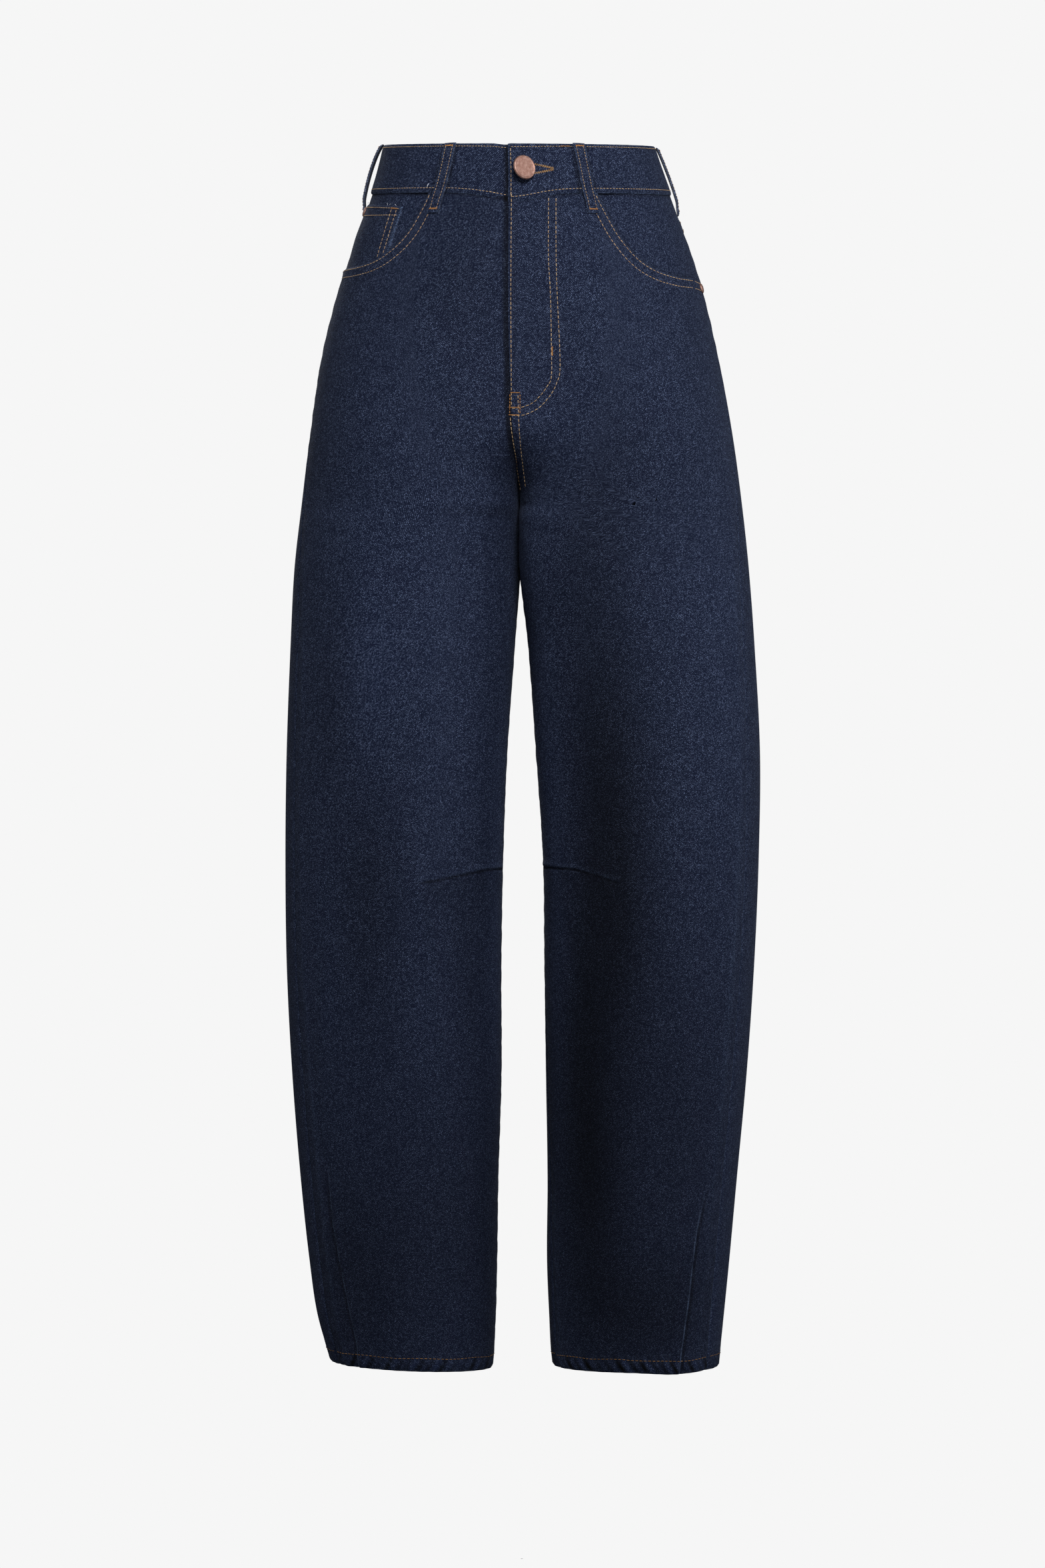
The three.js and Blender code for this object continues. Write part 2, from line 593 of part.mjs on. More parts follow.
// Rivets at the coin pocket's outer corner and at the foot of the left pocket mouth
const RIVETS = [
  { name: "rivet_coin_pocket", side: -1, angle: -7, depth: 57.5, out: 0.1 },
  { name: "rivet_left_mouth", side: 1, angle: -7.6, depth: 122.5, out: SEAM_GAP },
];
for (const rivet of RIVETS) {
  const radius = RIVET.across / 2;
  const profile = [
    [0, 0],
    [radius - 0.3, 0],
    [radius, 0.4],
    [radius * 0.8, RIVET.high * 0.8],
    [radius * 0.45, RIVET.high],
    [0, RIVET.high * 0.85],
  ];
  const angle = rivet.angle * degrees;
  const place = moved(rivet.side, angle, rivet.depth, rivet.out);
  turned(rivet.name, profile, place, outward(rivet.side, angle, rivet.depth));
}

export default jeans;
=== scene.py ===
"""High-waisted barrel-leg jeans in dark indigo denim, filled out as if worn.

Sizes are in millimetres and are turned into metres where a mesh is made. "Depth" is measured straight down
from the waistband's top edge at the sides. On each half of the garment an angle of 0 is the outer side, -90
degrees the front, 90 the back and 180 between the legs. Side -1 is the wearer's right and 1 the left.
"""

import math

import bpy
import numpy as np
from mathutils import Matrix, Vector


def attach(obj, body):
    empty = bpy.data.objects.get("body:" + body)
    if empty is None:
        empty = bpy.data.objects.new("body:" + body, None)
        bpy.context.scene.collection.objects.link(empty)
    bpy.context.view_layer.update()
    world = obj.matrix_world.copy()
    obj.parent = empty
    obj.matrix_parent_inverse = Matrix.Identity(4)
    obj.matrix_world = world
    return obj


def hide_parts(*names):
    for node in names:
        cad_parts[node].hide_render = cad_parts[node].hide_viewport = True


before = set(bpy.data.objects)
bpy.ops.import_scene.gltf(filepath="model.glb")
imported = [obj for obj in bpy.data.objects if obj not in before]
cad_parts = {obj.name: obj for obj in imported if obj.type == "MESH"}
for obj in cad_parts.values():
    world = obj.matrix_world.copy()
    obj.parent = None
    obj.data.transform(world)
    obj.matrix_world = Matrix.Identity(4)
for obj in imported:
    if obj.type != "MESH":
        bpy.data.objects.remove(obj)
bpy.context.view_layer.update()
MM = 0.001


# Studio. A seamless near-white room stands round the garment, which is held up clear of the floor.
# Large soft lights stand in front and to both sides, and the camera is level with the knees.
def empty_material(name):
    material = bpy.data.materials.new(name)
    material.use_nodes = True
    material.node_tree.nodes.clear()
    return material, material.node_tree


def near_white(name, brightness):
    paint, tree = empty_material(name)
    glow = tree.nodes.new("ShaderNodeEmission")
    glow.inputs["Color"].default_value = (brightness, brightness, brightness, 1)
    out = tree.nodes.new("ShaderNodeOutputMaterial")
    tree.links.new(glow.outputs[0], out.inputs["Surface"])
    return paint


def room_part(name, mesh, paint):
    part = bpy.data.objects.new(name, mesh)
    bpy.context.scene.collection.objects.link(part)
    mesh.materials.append(paint)
    part.visible_diffuse = part.visible_glossy = part.visible_shadow = False
    return part


def ring_mesh(name, rings, around=64):
    """Turned form from (radius, height) rings, in metres."""
    turn = np.linspace(0, 2 * math.pi, around, endpoint=False)
    points = [(r * math.cos(a), r * math.sin(a), z) for r, z in rings for a in turn]
    faces = []
    for below in range(0, (len(rings) - 1) * around, around):
        for i in range(around):
            beside = (i + 1) % around
            faces.append((below + i, below + beside, below + around + beside, below + around + i))
    mesh = bpy.data.meshes.new(name)
    mesh.from_pydata(points, [], faces)
    mesh.shade_smooth()
    return mesh


FLOOR_LEVEL = -1.16
ROOM_RADIUS = 9
paper = near_white("room_paper", 0.922)
floor_rings = [(0.001, FLOOR_LEVEL), (ROOM_RADIUS, FLOOR_LEVEL)]
wall_turns = np.linspace(0, math.pi / 2, 12)
wall_rings = [(ROOM_RADIUS * math.cos(a), FLOOR_LEVEL + ROOM_RADIUS * math.sin(a)) for a in wall_turns]
room_part("studio_floor", ring_mesh("studio_floor", floor_rings), paper)
room_part("studio_wall", ring_mesh("studio_wall", wall_rings), paper)

world = bpy.data.worlds.new("studio_air")
world.use_nodes = True
world.node_tree.nodes["Background"].inputs["Color"].default_value = (0.96, 0.98, 1, 1)
world.node_tree.nodes["Background"].inputs["Strength"].default_value = 0.12
bpy.context.scene.world = world
bpy.context.scene.view_settings.view_transform = "Standard"


def soft_light(name, place, aim, size, watts):
    lamp = bpy.data.lights.new(name, "AREA")
    lamp.shape = "RECTANGLE"
    lamp.size, lamp.size_y = size
    lamp.energy = watts
    light = bpy.data.objects.new(name, lamp)
    light.location = place
    light.rotation_euler = (Vector(aim) - Vector(place)).to_track_quat("-Z", "Y").to_euler()
    bpy.context.scene.collection.objects.link(light)


soft_light("front_light", (0.45, -2.2, 0.98), (0, 0, -0.35), (1.0, 1.0), 49)
soft_light("left_light", (-3.0, -1.2, 0.2), (0, 0, -0.3), (0.7, 1.8), 9)
soft_light("right_light", (2.6, -0.6, 0.3), (0, 0, -0.3), (0.7, 1.8), 19)
soft_light("back_light", (-0.6, 3.0, 1.3), (0, 0, -0.4), (1.6, 1.6), 55)

CAMERA_TURN = math.radians(2.75)
CAMERA_DISTANCE = 4.0
CAMERA_LEVEL = -0.5117
CAMERA_ASIDE = 0.00056
VIEW_HEIGHT = 1.3124
camera = bpy.data.objects.new("camera", bpy.data.cameras.new("camera"))
camera.data.sensor_width = 36
camera.data.lens = 36 * CAMERA_DISTANCE / VIEW_HEIGHT
camera.location = (
    CAMERA_DISTANCE * math.sin(CAMERA_TURN) + CAMERA_ASIDE * math.cos(CAMERA_TURN),
    -CAMERA_DISTANCE * math.cos(CAMERA_TURN) + CAMERA_ASIDE * math.sin(CAMERA_TURN),
    CAMERA_LEVEL,
)
camera.rotation_euler = (math.pi / 2, 0, CAMERA_TURN)
bpy.context.scene.collection.objects.link(camera)
bpy.context.scene.camera = camera


# Fronts. Two denim panels from the waistband to the hem, cut away at the pocket mouths. The wearer's left
# one laps over the right one at the fly. Both are joined to the backs by plain seams, have a long dart at
# the knee and a short one above the hem, and are turned up once at the bottom.
SIDES = ((-1, "right"), (1, "left"))
WAIST_DEPTH = 24
SPREAD_START = 40
FRONT_FORK = 238
SEAT_FORK = 185
CROTCH = 305
HEM = 1021.5
CLOTH = 1.05
SEAM_GAP = 0.24
BAND_HEIGHT = 41
BAND_DIP, DIP_ANGLE = 5.8, 14
TILT_MIDDLE, TILT_FRONT, TILT_LEFT = 1.5, 10.5, 1.2
CENTRE_FRONT = -3
FLY_LAP, LAP_START, LAP_END = 5, 225, 300
RIGHT_INSEAM_SHARE = 0.1
THIGH_SHIFT = 12
FORM_COLUMNS = "depth right left right_gap left_gap front back inner side inseam".split()
FORM = np.array(
    [
        (-12, 111.5, 106, 0, 0, -87, 91, 0, 0, 0),
        (0, 114.3, 109, 0, 0, -90, 94, 0, 0, 0),
        (43, 126, 123.8, 0, 0, -99, 105, 0, 0, 0),
        (108, 150, 147, 0, 0, -107, 121, 0, 2, 0),
        (175, 168, 163.5, 0, 0, -110, 131, 0, 5.5, 0),
        (242, 178, 176, 0, 0, -110, 130, 0, 11, 0),
        (305, 185.5, 184.5, 0.05, 0.05, -108, 119, -38, 18, 0),
        (354, 190.8, 189.7, 0.05, 0.05, -107, 113, -36, 22.5, 0),
        (421, 194.2, 194.7, 4.5, 6.7, -104, 108, -30, 25.5, 0),
        (510, 197.5, 199.2, 11.2, 12.8, -99, 104, -22, 27.5, 1),
        (599, 198.6, 198.1, 15, 18.4, -94, 100, -15, 28.5, 3),
        (689, 197.5, 194.2, 16.7, 19.5, -88, 95, -11, 29.5, 7),
        (778, 193, 188, 16.7, 20.6, -81, 89, -8, 30.5, 12),
        (867, 185.8, 179.7, 19.5, 21.8, -73, 81, -5, 31.5, 17),
        (934, 178.5, 173.5, 20.6, 21.2, -66, 72, -2, 31.5, 21),
        (979, 171.9, 169, 21.8, 22.9, -61, 66, 0, 31.5, 22),
        (1011, 163, 165.7, 23.4, 24.6, -57, 61, 2, 31, 22),
        (1027, 158.5, 164, 24.5, 27, -55, 59, 2, 31, 22),
    ]
)


def section(name, depth):
    """A section's value at any depth, on a smooth curve through the table."""
    depths, values = FORM[:, 0], FORM[:, FORM_COLUMNS.index(name)]
    slope = np.diff(values) / np.diff(depths)
    rise = np.concatenate([slope[:1], (slope[:-1] + slope[1:]) / 2, slope[-1:]])
    i = np.clip(np.searchsorted(depths, depth, side="left") - 1, 0, len(depths) - 2)
    span = depths[i + 1] - depths[i]
    t = (depth - depths[i]) / span
    return (
        ((2 * t - 3) * t * t + 1) * values[i]
        + ((t - 2) * t + 1) * t * span * rise[i]
        + (3 - 2 * t) * t * t * values[i + 1]
        + (t - 1) * t * t * span * rise[i + 1]
    )


def ease(value, low, high):
    t = np.clip((value - low) / (high - low), 0, 1)
    return t * t * (3 - 2 * t)


def fade(distance, reach):
    """1 at no distance, falling off softly to both sides."""
    return np.exp(-((distance / reach) ** 2))


def half_section(side, depth):
    """Middle line, centre and half-width of one side's section, and how far it has rounded to its own leg."""
    spread = ease(depth, SPREAD_START, CROTCH)
    middle = (section("left", depth) - section("right", depth)) / 2 * (1 - spread)
    outer = np.where(side < 0, section("right", depth), section("left", depth)) - side * middle
    gap = np.maximum(0, np.where(side < 0, section("right_gap", depth), section("left_gap", depth)))
    half = (outer - np.where(spread < 1, 0, gap)) / (1 + spread)
    return middle, outer - half, half, spread


def cloth_face(side, angle, depth):
    """A place on the body or leg. The fly's lap follows the right half, and where the thighs meet the left
    one lies a little forward of the right one, so that no light shows between them."""
    side, angle, depth = np.broadcast_arrays(side, angle, depth)
    lapped = (side > 0) & (angle < -fork(depth))
    angle = np.where(lapped, -2 * fork(depth) - angle, angle)
    side = np.where(lapped, -1, side)
    middle, centre, half, spread = half_section(side, depth)
    front, back = section("front", depth), section("back", depth)
    side_y = (front + back) / 2
    inner_y = side_y + (section("inner", depth) - side_y) * spread**2
    inner_y = inner_y - side * THIGH_SHIFT * ease(depth, CROTCH, CROTCH + 14) * (1 - ease(depth, 348, 420))
    mid = (side_y + inner_y) / 2
    c, s = np.cos(angle), np.sin(angle)
    cleft = ease(depth, np.where(s < 0, FRONT_FORK, SEAT_FORK), CROTCH)
    full = np.where(c < 0, np.sign(s) + (s - np.sign(s)) * cleft, s)
    x = middle + side * (centre + half * c)
    y = (side_y * (1 + c) + inner_y * (1 - c)) / 2 + np.where(s < 0, mid - front, back - mid) * full
    return np.stack([x, y, WAIST_DEPTH - depth], -1)


def span_round(side, angle, depth):
    """The short way round the section from just before an angle to just after it."""
    return cloth_face(side, angle + 0.01, depth) - cloth_face(side, angle - 0.01, depth)


def outward(side, angle, depth):
    along = span_round(side, angle, depth)
    down = cloth_face(side, angle, depth + 1) - cloth_face(side, angle, depth - 1)
    out = np.cross(down, along) * np.asarray(side)[..., None]
    return out / np.linalg.norm(out, axis=-1, keepdims=True)


def fork(depth):
    return np.arccos(-ease(depth, SPREAD_START, CROTCH))


def seam_turn(name, depth):
    return np.radians(np.maximum(0, section(name, depth)))


def inseam_turn(side, depth):
    return seam_turn("inseam", depth) * (RIGHT_INSEAM_SHARE if side < 0 else 1)


def lap_width(depth):
    return FLY_LAP * (1 - ease(depth, LAP_START, LAP_END))


def band_top(side, angle):
    return TILT_MIDDLE - TILT_FRONT * np.sin(angle) + TILT_LEFT * side * np.cos(angle)


def band_seam(side, angle):
    from_front = (np.degrees(angle) + 90) / DIP_ANGLE
    return band_top(side, angle) + BAND_HEIGHT + BAND_DIP * np.exp(-(from_front**2))


def arc_reach(side, angle, depth):
    """Millimetres of cloth for each radian round the section."""
    return np.linalg.norm(span_round(side, angle, depth), axis=-1) / 0.02


def front_edges(side, depth):
    """Angles of the centre front and of the side seam. The right front runs on under the left one."""
    lap = lap_width(depth) if side > 0 else 0
    inner = -fork(depth) + inseam_turn(side, depth) - lap / half_section(side, depth)[2]
    outer = -seam_turn("side", depth)
    inset = SEAM_GAP / 2
    return inner + inset / arc_reach(side, inner, depth), outer - inset / arc_reach(side, outer, depth)


def smooth_line(knots, steps=12):
    """Points on a smooth curve through the knots."""
    knots = np.asarray(knots, float)
    ends = np.concatenate([knots[:1], knots, knots[-1:]])
    t = np.linspace(0, 1, steps, endpoint=False)[:, None]
    parts = [
        0.5 * (2 * b + (c - a) * t + (2 * a - 5 * b + 4 * c - d) * t**2 + (3 * b - a - 3 * c + d) * t**3)
        for a, b, c, d in zip(ends, ends[1:], ends[2:], ends[3:])
    ]
    return np.concatenate([*parts, knots[-1:]])


# Across from the centre front, then the mouth's depth on the wearer's right and left
MOUTH = np.array(
    [
        (69.5, 49, 53), (76, 63, 66), (88, 83, 87), (103, 97, 104.5), (118, 104.5, 113.5), (134, 106.5, 117),
        (146, 105, 116.5),
    ]
)


def mouth_line(side):
    return smooth_line(MOUTH[:, [0, 1 if side < 0 else 2]])


def mouth_places(side):
    """The mouth's edge as places across and depths."""
    line = mouth_line(side)
    return CENTRE_FRONT + side * line[:, 0], line[:, 1]


def mouth_points(side):
    x, depth = mouth_places(side)
    return cloth_face(side, angle_at(side, x, depth), depth)


def mouth_depth(side, x):
    line = mouth_line(side)
    across = side * (x - CENTRE_FRONT)
    (start, top), (after, below) = line[:2]
    steep = (below - top) / (after - start)
    return np.where(across < start, top + steep * (across - start), np.interp(across, *line.T))


UNDER_BAND = 2.5


def front_top(side, angle, depth):
    x = cloth_face(side, angle, depth)[..., 0]
    return np.maximum(band_seam(side, angle) - UNDER_BAND, mouth_depth(side, x))


def hem_line(side, angle, depth):
    """The wearer's right hem hangs lower at the inside, the left one sags a little towards the outside."""
    across = np.cos(angle)
    return HEM + (-0.25 - 2.55 * across if side < 0 else 2.0 * fade(across - 0.5, 0.35))


def panel_places(side, edges, top, bottom, lines, rows):
    """Angle and depth of each crossing of a panel's lines with its rows."""
    ends = []
    for edge, guess in ((top, 70.0), (bottom, 120.0)):
        depth = np.full(len(lines), guess)
        for _ in range(60):
            first, last = edges(side, depth)
            depth = 0.5 * depth + 0.5 * edge(side, first + (last - first) * lines, depth)
        ends.append(depth)
    depth = ends[0] + (ends[1] - ends[0]) * rows[:, None]
    first, last = edges(side, depth)
    return first + (last - first) * lines, depth


def close_at_ends(steps, extra=(), near=(0, 0.0011, 0.0035, 0.008)):
    """Places from 0 to 1, closer together at both ends, with extra ones between."""
    near = np.array(near)
    return np.unique(np.concatenate([near, np.linspace(0.014, 0.986, steps), 1 - near, extra]))


def share_of(edges, side, angle, depth):
    first, last = edges(side, depth)
    return (angle - first) / (last - first)


# Soft lengthways folds: panel, side, place across (0 at the seam between the legs, 1 at the side seam), width
# as a share, from and to depth, height out from the cloth
FOLDS = [
    ("front", -1, 0.46, 0.11, 380, 850, 2.6),
    ("front", -1, 0.72, 0.10, 430, 800, -1.6),
    ("front", 1, 0.50, 0.13, 420, 800, 2.2),
    ("front", 1, 0.30, 0.09, 620, 980, -2.0),
    ("back", -1, 0.40, 0.10, 330, 700, 2.4),
    ("back", -1, 0.62, 0.09, 560, 960, -2.2),
    ("back", 1, 0.44, 0.12, 350, 760, 2.2),
    ("back", 1, 0.22, 0.08, 300, 560, -2.4),
]


def fold_height(panel, side, share, depth):
    height = np.zeros(np.shape(depth))
    for which, fold_side, line, width, start, end, high in FOLDS:
        if which == panel and fold_side == side:
            ramp = min(120, (end - start) / 3)
            along = ease(depth, start, start + ramp) * (1 - ease(depth, end - ramp, end))
            height += high * fade(share - line, width) * along
    return height


# Creases: panel, side, then across and depth of both ends, width in mm and height. They are placed one by
# one.
CREASES = [
    ("front", -1, 0.10, 292, 0.42, 268, 7, -0.7),
    ("front", -1, 0.06, 322, 0.34, 330, 8, 0.6),
    ("front", 1, 0.08, 296, 0.38, 262, 8, -0.8),
    ("front", 1, 0.05, 330, 0.30, 352, 7, 0.6),
    ("front", -1, 0.55, 560, 0.40, 700, 10, 0.8),
    ("front", -1, 0.30, 640, 0.22, 760, 9, -0.7),
    ("front", 1, 0.62, 520, 0.52, 690, 11, 0.8),
    ("front", 1, 0.20, 625, 0.34, 745, 9, -0.8),
    ("front", -1, 0.80, 640, 0.90, 800, 8, 0.7),
    ("front", 1, 0.82, 470, 0.86, 700, 7, -0.8),
    ("front", -1, 0.20, 880, 0.42, 960, 9, 0.6),
    ("front", 1, 0.55, 860, 0.40, 970, 9, 0.6),
    ("back", -1, 0.06, 300, 0.45, 262, 10, -1.0),
    ("back", -1, 0.04, 330, 0.40, 318, 9, 0.9),
    ("back", 1, 0.06, 304, 0.42, 270, 10, -1.0),
    ("back", 1, 0.05, 336, 0.44, 330, 9, 0.8),
    ("back", -1, 0.30, 590, 0.70, 612, 10, -1.0),
    ("back", -1, 0.24, 630, 0.60, 646, 9, 0.8),
    ("back", 1, 0.28, 598, 0.66, 584, 10, -1.0),
    ("back", 1, 0.34, 640, 0.72, 662, 9, 0.8),
    ("back", -1, 0.62, 760, 0.50, 900, 11, 0.8),
    ("back", 1, 0.36, 770, 0.52, 920, 11, 0.8),
]


def crease_height(panel, side, share, depth, width=250.0):
    height = np.zeros(np.shape(depth))
    for which, crease_side, u0, d0, u1, d1, wide, high in CREASES:
        if which == panel and crease_side == side:
            along = np.array([(u1 - u0) * width, d1 - d0])
            length = np.hypot(*along)
            along = along / length
            du, dd = (share - u0) * width, depth - d0
            t = (du * along[0] + dd * along[1]) / length
            off = (du * along[1] - dd * along[0]) / wide
            height += high * np.exp(-(off**2)) * ease(t, -0.1, 0.35) * (1 - ease(t, 0.6, 1.1))
    return height


# Darts in the fronts, as places across from the middle of the garment with their depths.
KNEE_DART = {
    -1: ((10, 26, 43, 64, 84), (606.7, 607.1, 610.4, 614.2, 617.4)),
    1: ((23, 47, 66, 78, 88), (605, 606.2, 611, 615.2, 617)),
}
HEM_DART = {
    -1: ((159.5, 154.8, 148.2, 142.2, 135.4, 134.0), (850, 902, 938, 968, 1000, 1022)),
    1: ((156.6, 148.3, 144.5, 141.7, 134.5, 133.5), (864, 902, 932, 959, 1010, 1022)),
}


def knee_dart(side, x, depth):
    """How far below the knee dart's line a place is, and how strongly the dart shows there."""
    places, depths = KNEE_DART[side]
    shown = 1 - ease(side * x, places[-1] - 11, places[-1])
    return depth - np.interp(side * x, places, depths), shown


def hem_dart(side, x, depth):
    """How far outside the hem dart's line a place is, and how strongly the dart shows there."""
    places, depths = HEM_DART[side]
    return side * x - np.interp(depth, depths, places), ease(depth, depths[0], depths[0] + 30)


def fly_edge_raise(side, x, depth):
    """The fly stands proud: several layers lie under its folded edge, down to the curve of its stitching."""
    if side < 0:
        return -0.9 * fade(np.maximum(0, -5 - x), 5) * (1 - ease(depth, 250, 292))
    curve = ease(depth, 195, 232)
    inside = 1 - ease(x, 24 - 20 * curve, 33 - 20 * curve)
    fold = fade(x + 5 - 4 * ease(depth, 225, 290), 7)
    return 0.5 * inside * (1 - ease(depth, 222, 236)) + 0.9 * fold * (1 - ease(depth, 262, 296))


def front_lift(side, angle, depth):
    share = share_of(front_edges, side, angle, depth)
    x = cloth_face(side, angle, depth)[..., 0]
    lift = fold_height("front", side, share, depth) + crease_height("front", side, share, depth)
    below, shown = knee_dart(side, x, depth)
    lift += shown * (0.6 * fade(below + 2.5, 2.4) - 0.9 * fade(below, 1.1))
    lift += shown * (below > 0) * 0.35 * np.sin(x / 1.9 + 1.3 * np.sin(x / 8)) * fade(below - 6, 9)
    beside, shown = hem_dart(side, x, depth)
    lift += shown * (-0.8 * fade(beside, 1.2) + 0.5 * fade(beside + 3, 2.5))
    return lift + fly_edge_raise(side, x, depth)


def seam_roll(distance, deep=0.55, soft=2.2):
    """Cloth turning down into a seam or round a folded edge."""
    return -deep * fade(distance, soft) - 0.3 * fade(distance, 0.5)


def puckers(place, distance, pitch, height, reach, phase=0.0):
    """Uneven little waves along a row of stitches."""
    wave = np.sin(place * 2 * np.pi / pitch + phase + 1.7 * np.sin(place / (2.3 * pitch) + phase))
    wave += 0.6 * np.sin(place * 2 * np.pi / (1.7 * pitch) + 2.1 * phase + np.sin(place / pitch))
    return height * wave / 1.6 * fade(distance, reach)


def cloth_mesh(name, outer, inner, cloth_uv, marks):
    """A thin closed shell between two grids of points, with flat-cloth coordinates and named marks."""
    rows, columns = outer.shape[:2]
    points = np.concatenate([outer.reshape(-1, 3), inner.reshape(-1, 3)]) * MM
    at = np.arange(2 * rows * columns).reshape(2, rows, columns)

    def strip(a, b, c, d):
        return np.stack([a, b, c, d], -1).reshape(-1, 4)

    out, back = at
    faces = np.concatenate(
        [
            strip(out[:-1, :-1], out[1:, :-1], out[1:, 1:], out[:-1, 1:]),
            strip(back[:-1, :-1], back[:-1, 1:], back[1:, 1:], back[1:, :-1]),
            strip(out[0, :-1], out[0, 1:], back[0, 1:], back[0, :-1]),
            strip(out[-1, 1:], out[-1, :-1], back[-1, :-1], back[-1, 1:]),
            strip(out[1:, 0], out[:-1, 0], back[:-1, 0], back[1:, 0]),
            strip(out[:-1, -1], out[1:, -1], back[1:, -1], back[:-1, -1]),
        ]
    )
    corner = points[faces]
    volume = np.einsum("ij,ij->", corner[:, 0], np.cross(corner[:, 1], corner[:, 2]))
    if volume < 0:
        faces = faces[:, ::-1]
    mesh = bpy.data.meshes.new(name)
    mesh.from_pydata(points.tolist(), [], faces.tolist())
    mesh.shade_smooth()
    mesh.set_sharp_from_angle(angle=math.radians(60))
    flat = np.concatenate([cloth_uv.reshape(-1, 2)] * 2) * MM
    layer = mesh.uv_layers.new(name="cloth")
    layer.data.foreach_set("uv", flat[faces.ravel()].astype(np.float32).ravel())
    inside = np.repeat([0.0, 1.0], rows * columns)
    for mark, values in {"inside": inside, **marks}.items():
        if len(np.ravel(values)) == rows * columns:
            values = np.concatenate([np.ravel(values)] * 2)
        attribute = mesh.attributes.new(mark, "FLOAT", "POINT")
        attribute.data.foreach_set("value", np.ascontiguousarray(np.ravel(values), np.float32))
    return mesh


def shell(name, base, out, lift, cloth_uv, worn, shadow=0.0):
    """A single layer of cloth that stands out from the plain form by its lift."""
    outer, inner = base + out * lift[..., None], base + out * (lift - CLOTH)[..., None]
    return cloth_mesh(name, outer, inner, cloth_uv, {"worn": worn, "shadow": shadow + worn * 0})


def made_piece(name, mesh, material, slot, *nodes):
    piece = bpy.data.objects.new(name, mesh)
    bpy.context.scene.collection.objects.link(piece)
    mesh.materials.append(material)
    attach(piece, "root")
    if nodes:
        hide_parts(*nodes)
    return piece


def add_node(tree, kind, inputs=(), **settings):
    made = tree.nodes.new(kind)
    for name, value in settings.items():
        setattr(made, name, value)
    for socket, value in dict(inputs).items():
        if isinstance(value, bpy.types.NodeSocket):
            tree.links.new(value, made.inputs[socket])
        else:
            made.inputs[socket].default_value = value
    return made


def colour(red, green, blue):
    """Linear colour from the 0-255 values that a swatch would be read at."""
    shares = [value / 255 for value in (red, green, blue)]
    return (*[s / 12.92 if s < 0.04 else ((s + 0.055) / 1.055) ** 2.4 for s in shares], 1)


def mix(tree, factor, a, b, blend="MIX"):
    node = add_node(tree, "ShaderNodeMix", data_type="RGBA", blend_type=blend)
    for socket, value in ((0, factor), (6, a), (7, b)):
        if isinstance(value, bpy.types.NodeSocket):
            tree.links.new(value, node.inputs[socket])
        else:
            node.inputs[socket].default_value = value
    return node.outputs[2]


def calc(tree, operation, a, b=0.5, clamp=False):
    return add_node(tree, "ShaderNodeMath", {0: a, 1: b}, operation=operation, use_clamp=clamp).outputs[0]


def remap(tree, value, low, high, at_low=0.0, at_high=1.0):
    return add_node(tree, "ShaderNodeMapRange", {0: value, 1: low, 2: high, 3: at_low, 4: at_high}).outputs[0]


def noise(tree, place, scale, detail, roughness=0.5, **settings):
    inputs = {"Vector": place, "Scale": scale, "Detail": detail, "Roughness": roughness}
    return add_node(tree, "ShaderNodeTexNoise", inputs, **settings).outputs["Fac"]


def scaled(tree, place, scale):
    return add_node(tree, "ShaderNodeMapping", {"Vector": place, "Scale": scale}).outputs[0]


def mark(tree, name):
    return add_node(tree, "ShaderNodeAttribute", attribute_name=name).outputs["Fac"]


def bumps(tree, height, strength, distance):
    inputs = {"Strength": strength, "Distance": distance, "Height": height}
    return add_node(tree, "ShaderNodeBump", inputs).outputs[0]


def surface(material, inputs):
    """Finish a material with one physically based surface."""
    shader = add_node(material.node_tree, "ShaderNodeBsdfPrincipled", inputs)
    add_node(material.node_tree, "ShaderNodeOutputMaterial", {"Surface": shader.outputs[0]})
    return material


TWILL_TURN = math.radians(52)
TWILL_PITCH = 0.00112
YARN = (0.00060, 0.00041)
WEFT_BLUE = (0.062, 0.081, 0.134)
WARP_INK = (0.0045, 0.0079, 0.0250)
SEAM_SHADE = (0.0016, 0.0018, 0.0035, 1)
SLUB_SCALE, CLOUD_SCALE = (420, 60, 1), 60
WEFT_SHARE, MOST_WEFT = 0.077, 2.4
# The weft shows less evenly above the second of these heights, in metres, than below the first
FADES_BETWEEN, LOW_CONTRAST = (-0.85, -0.50), 0.86


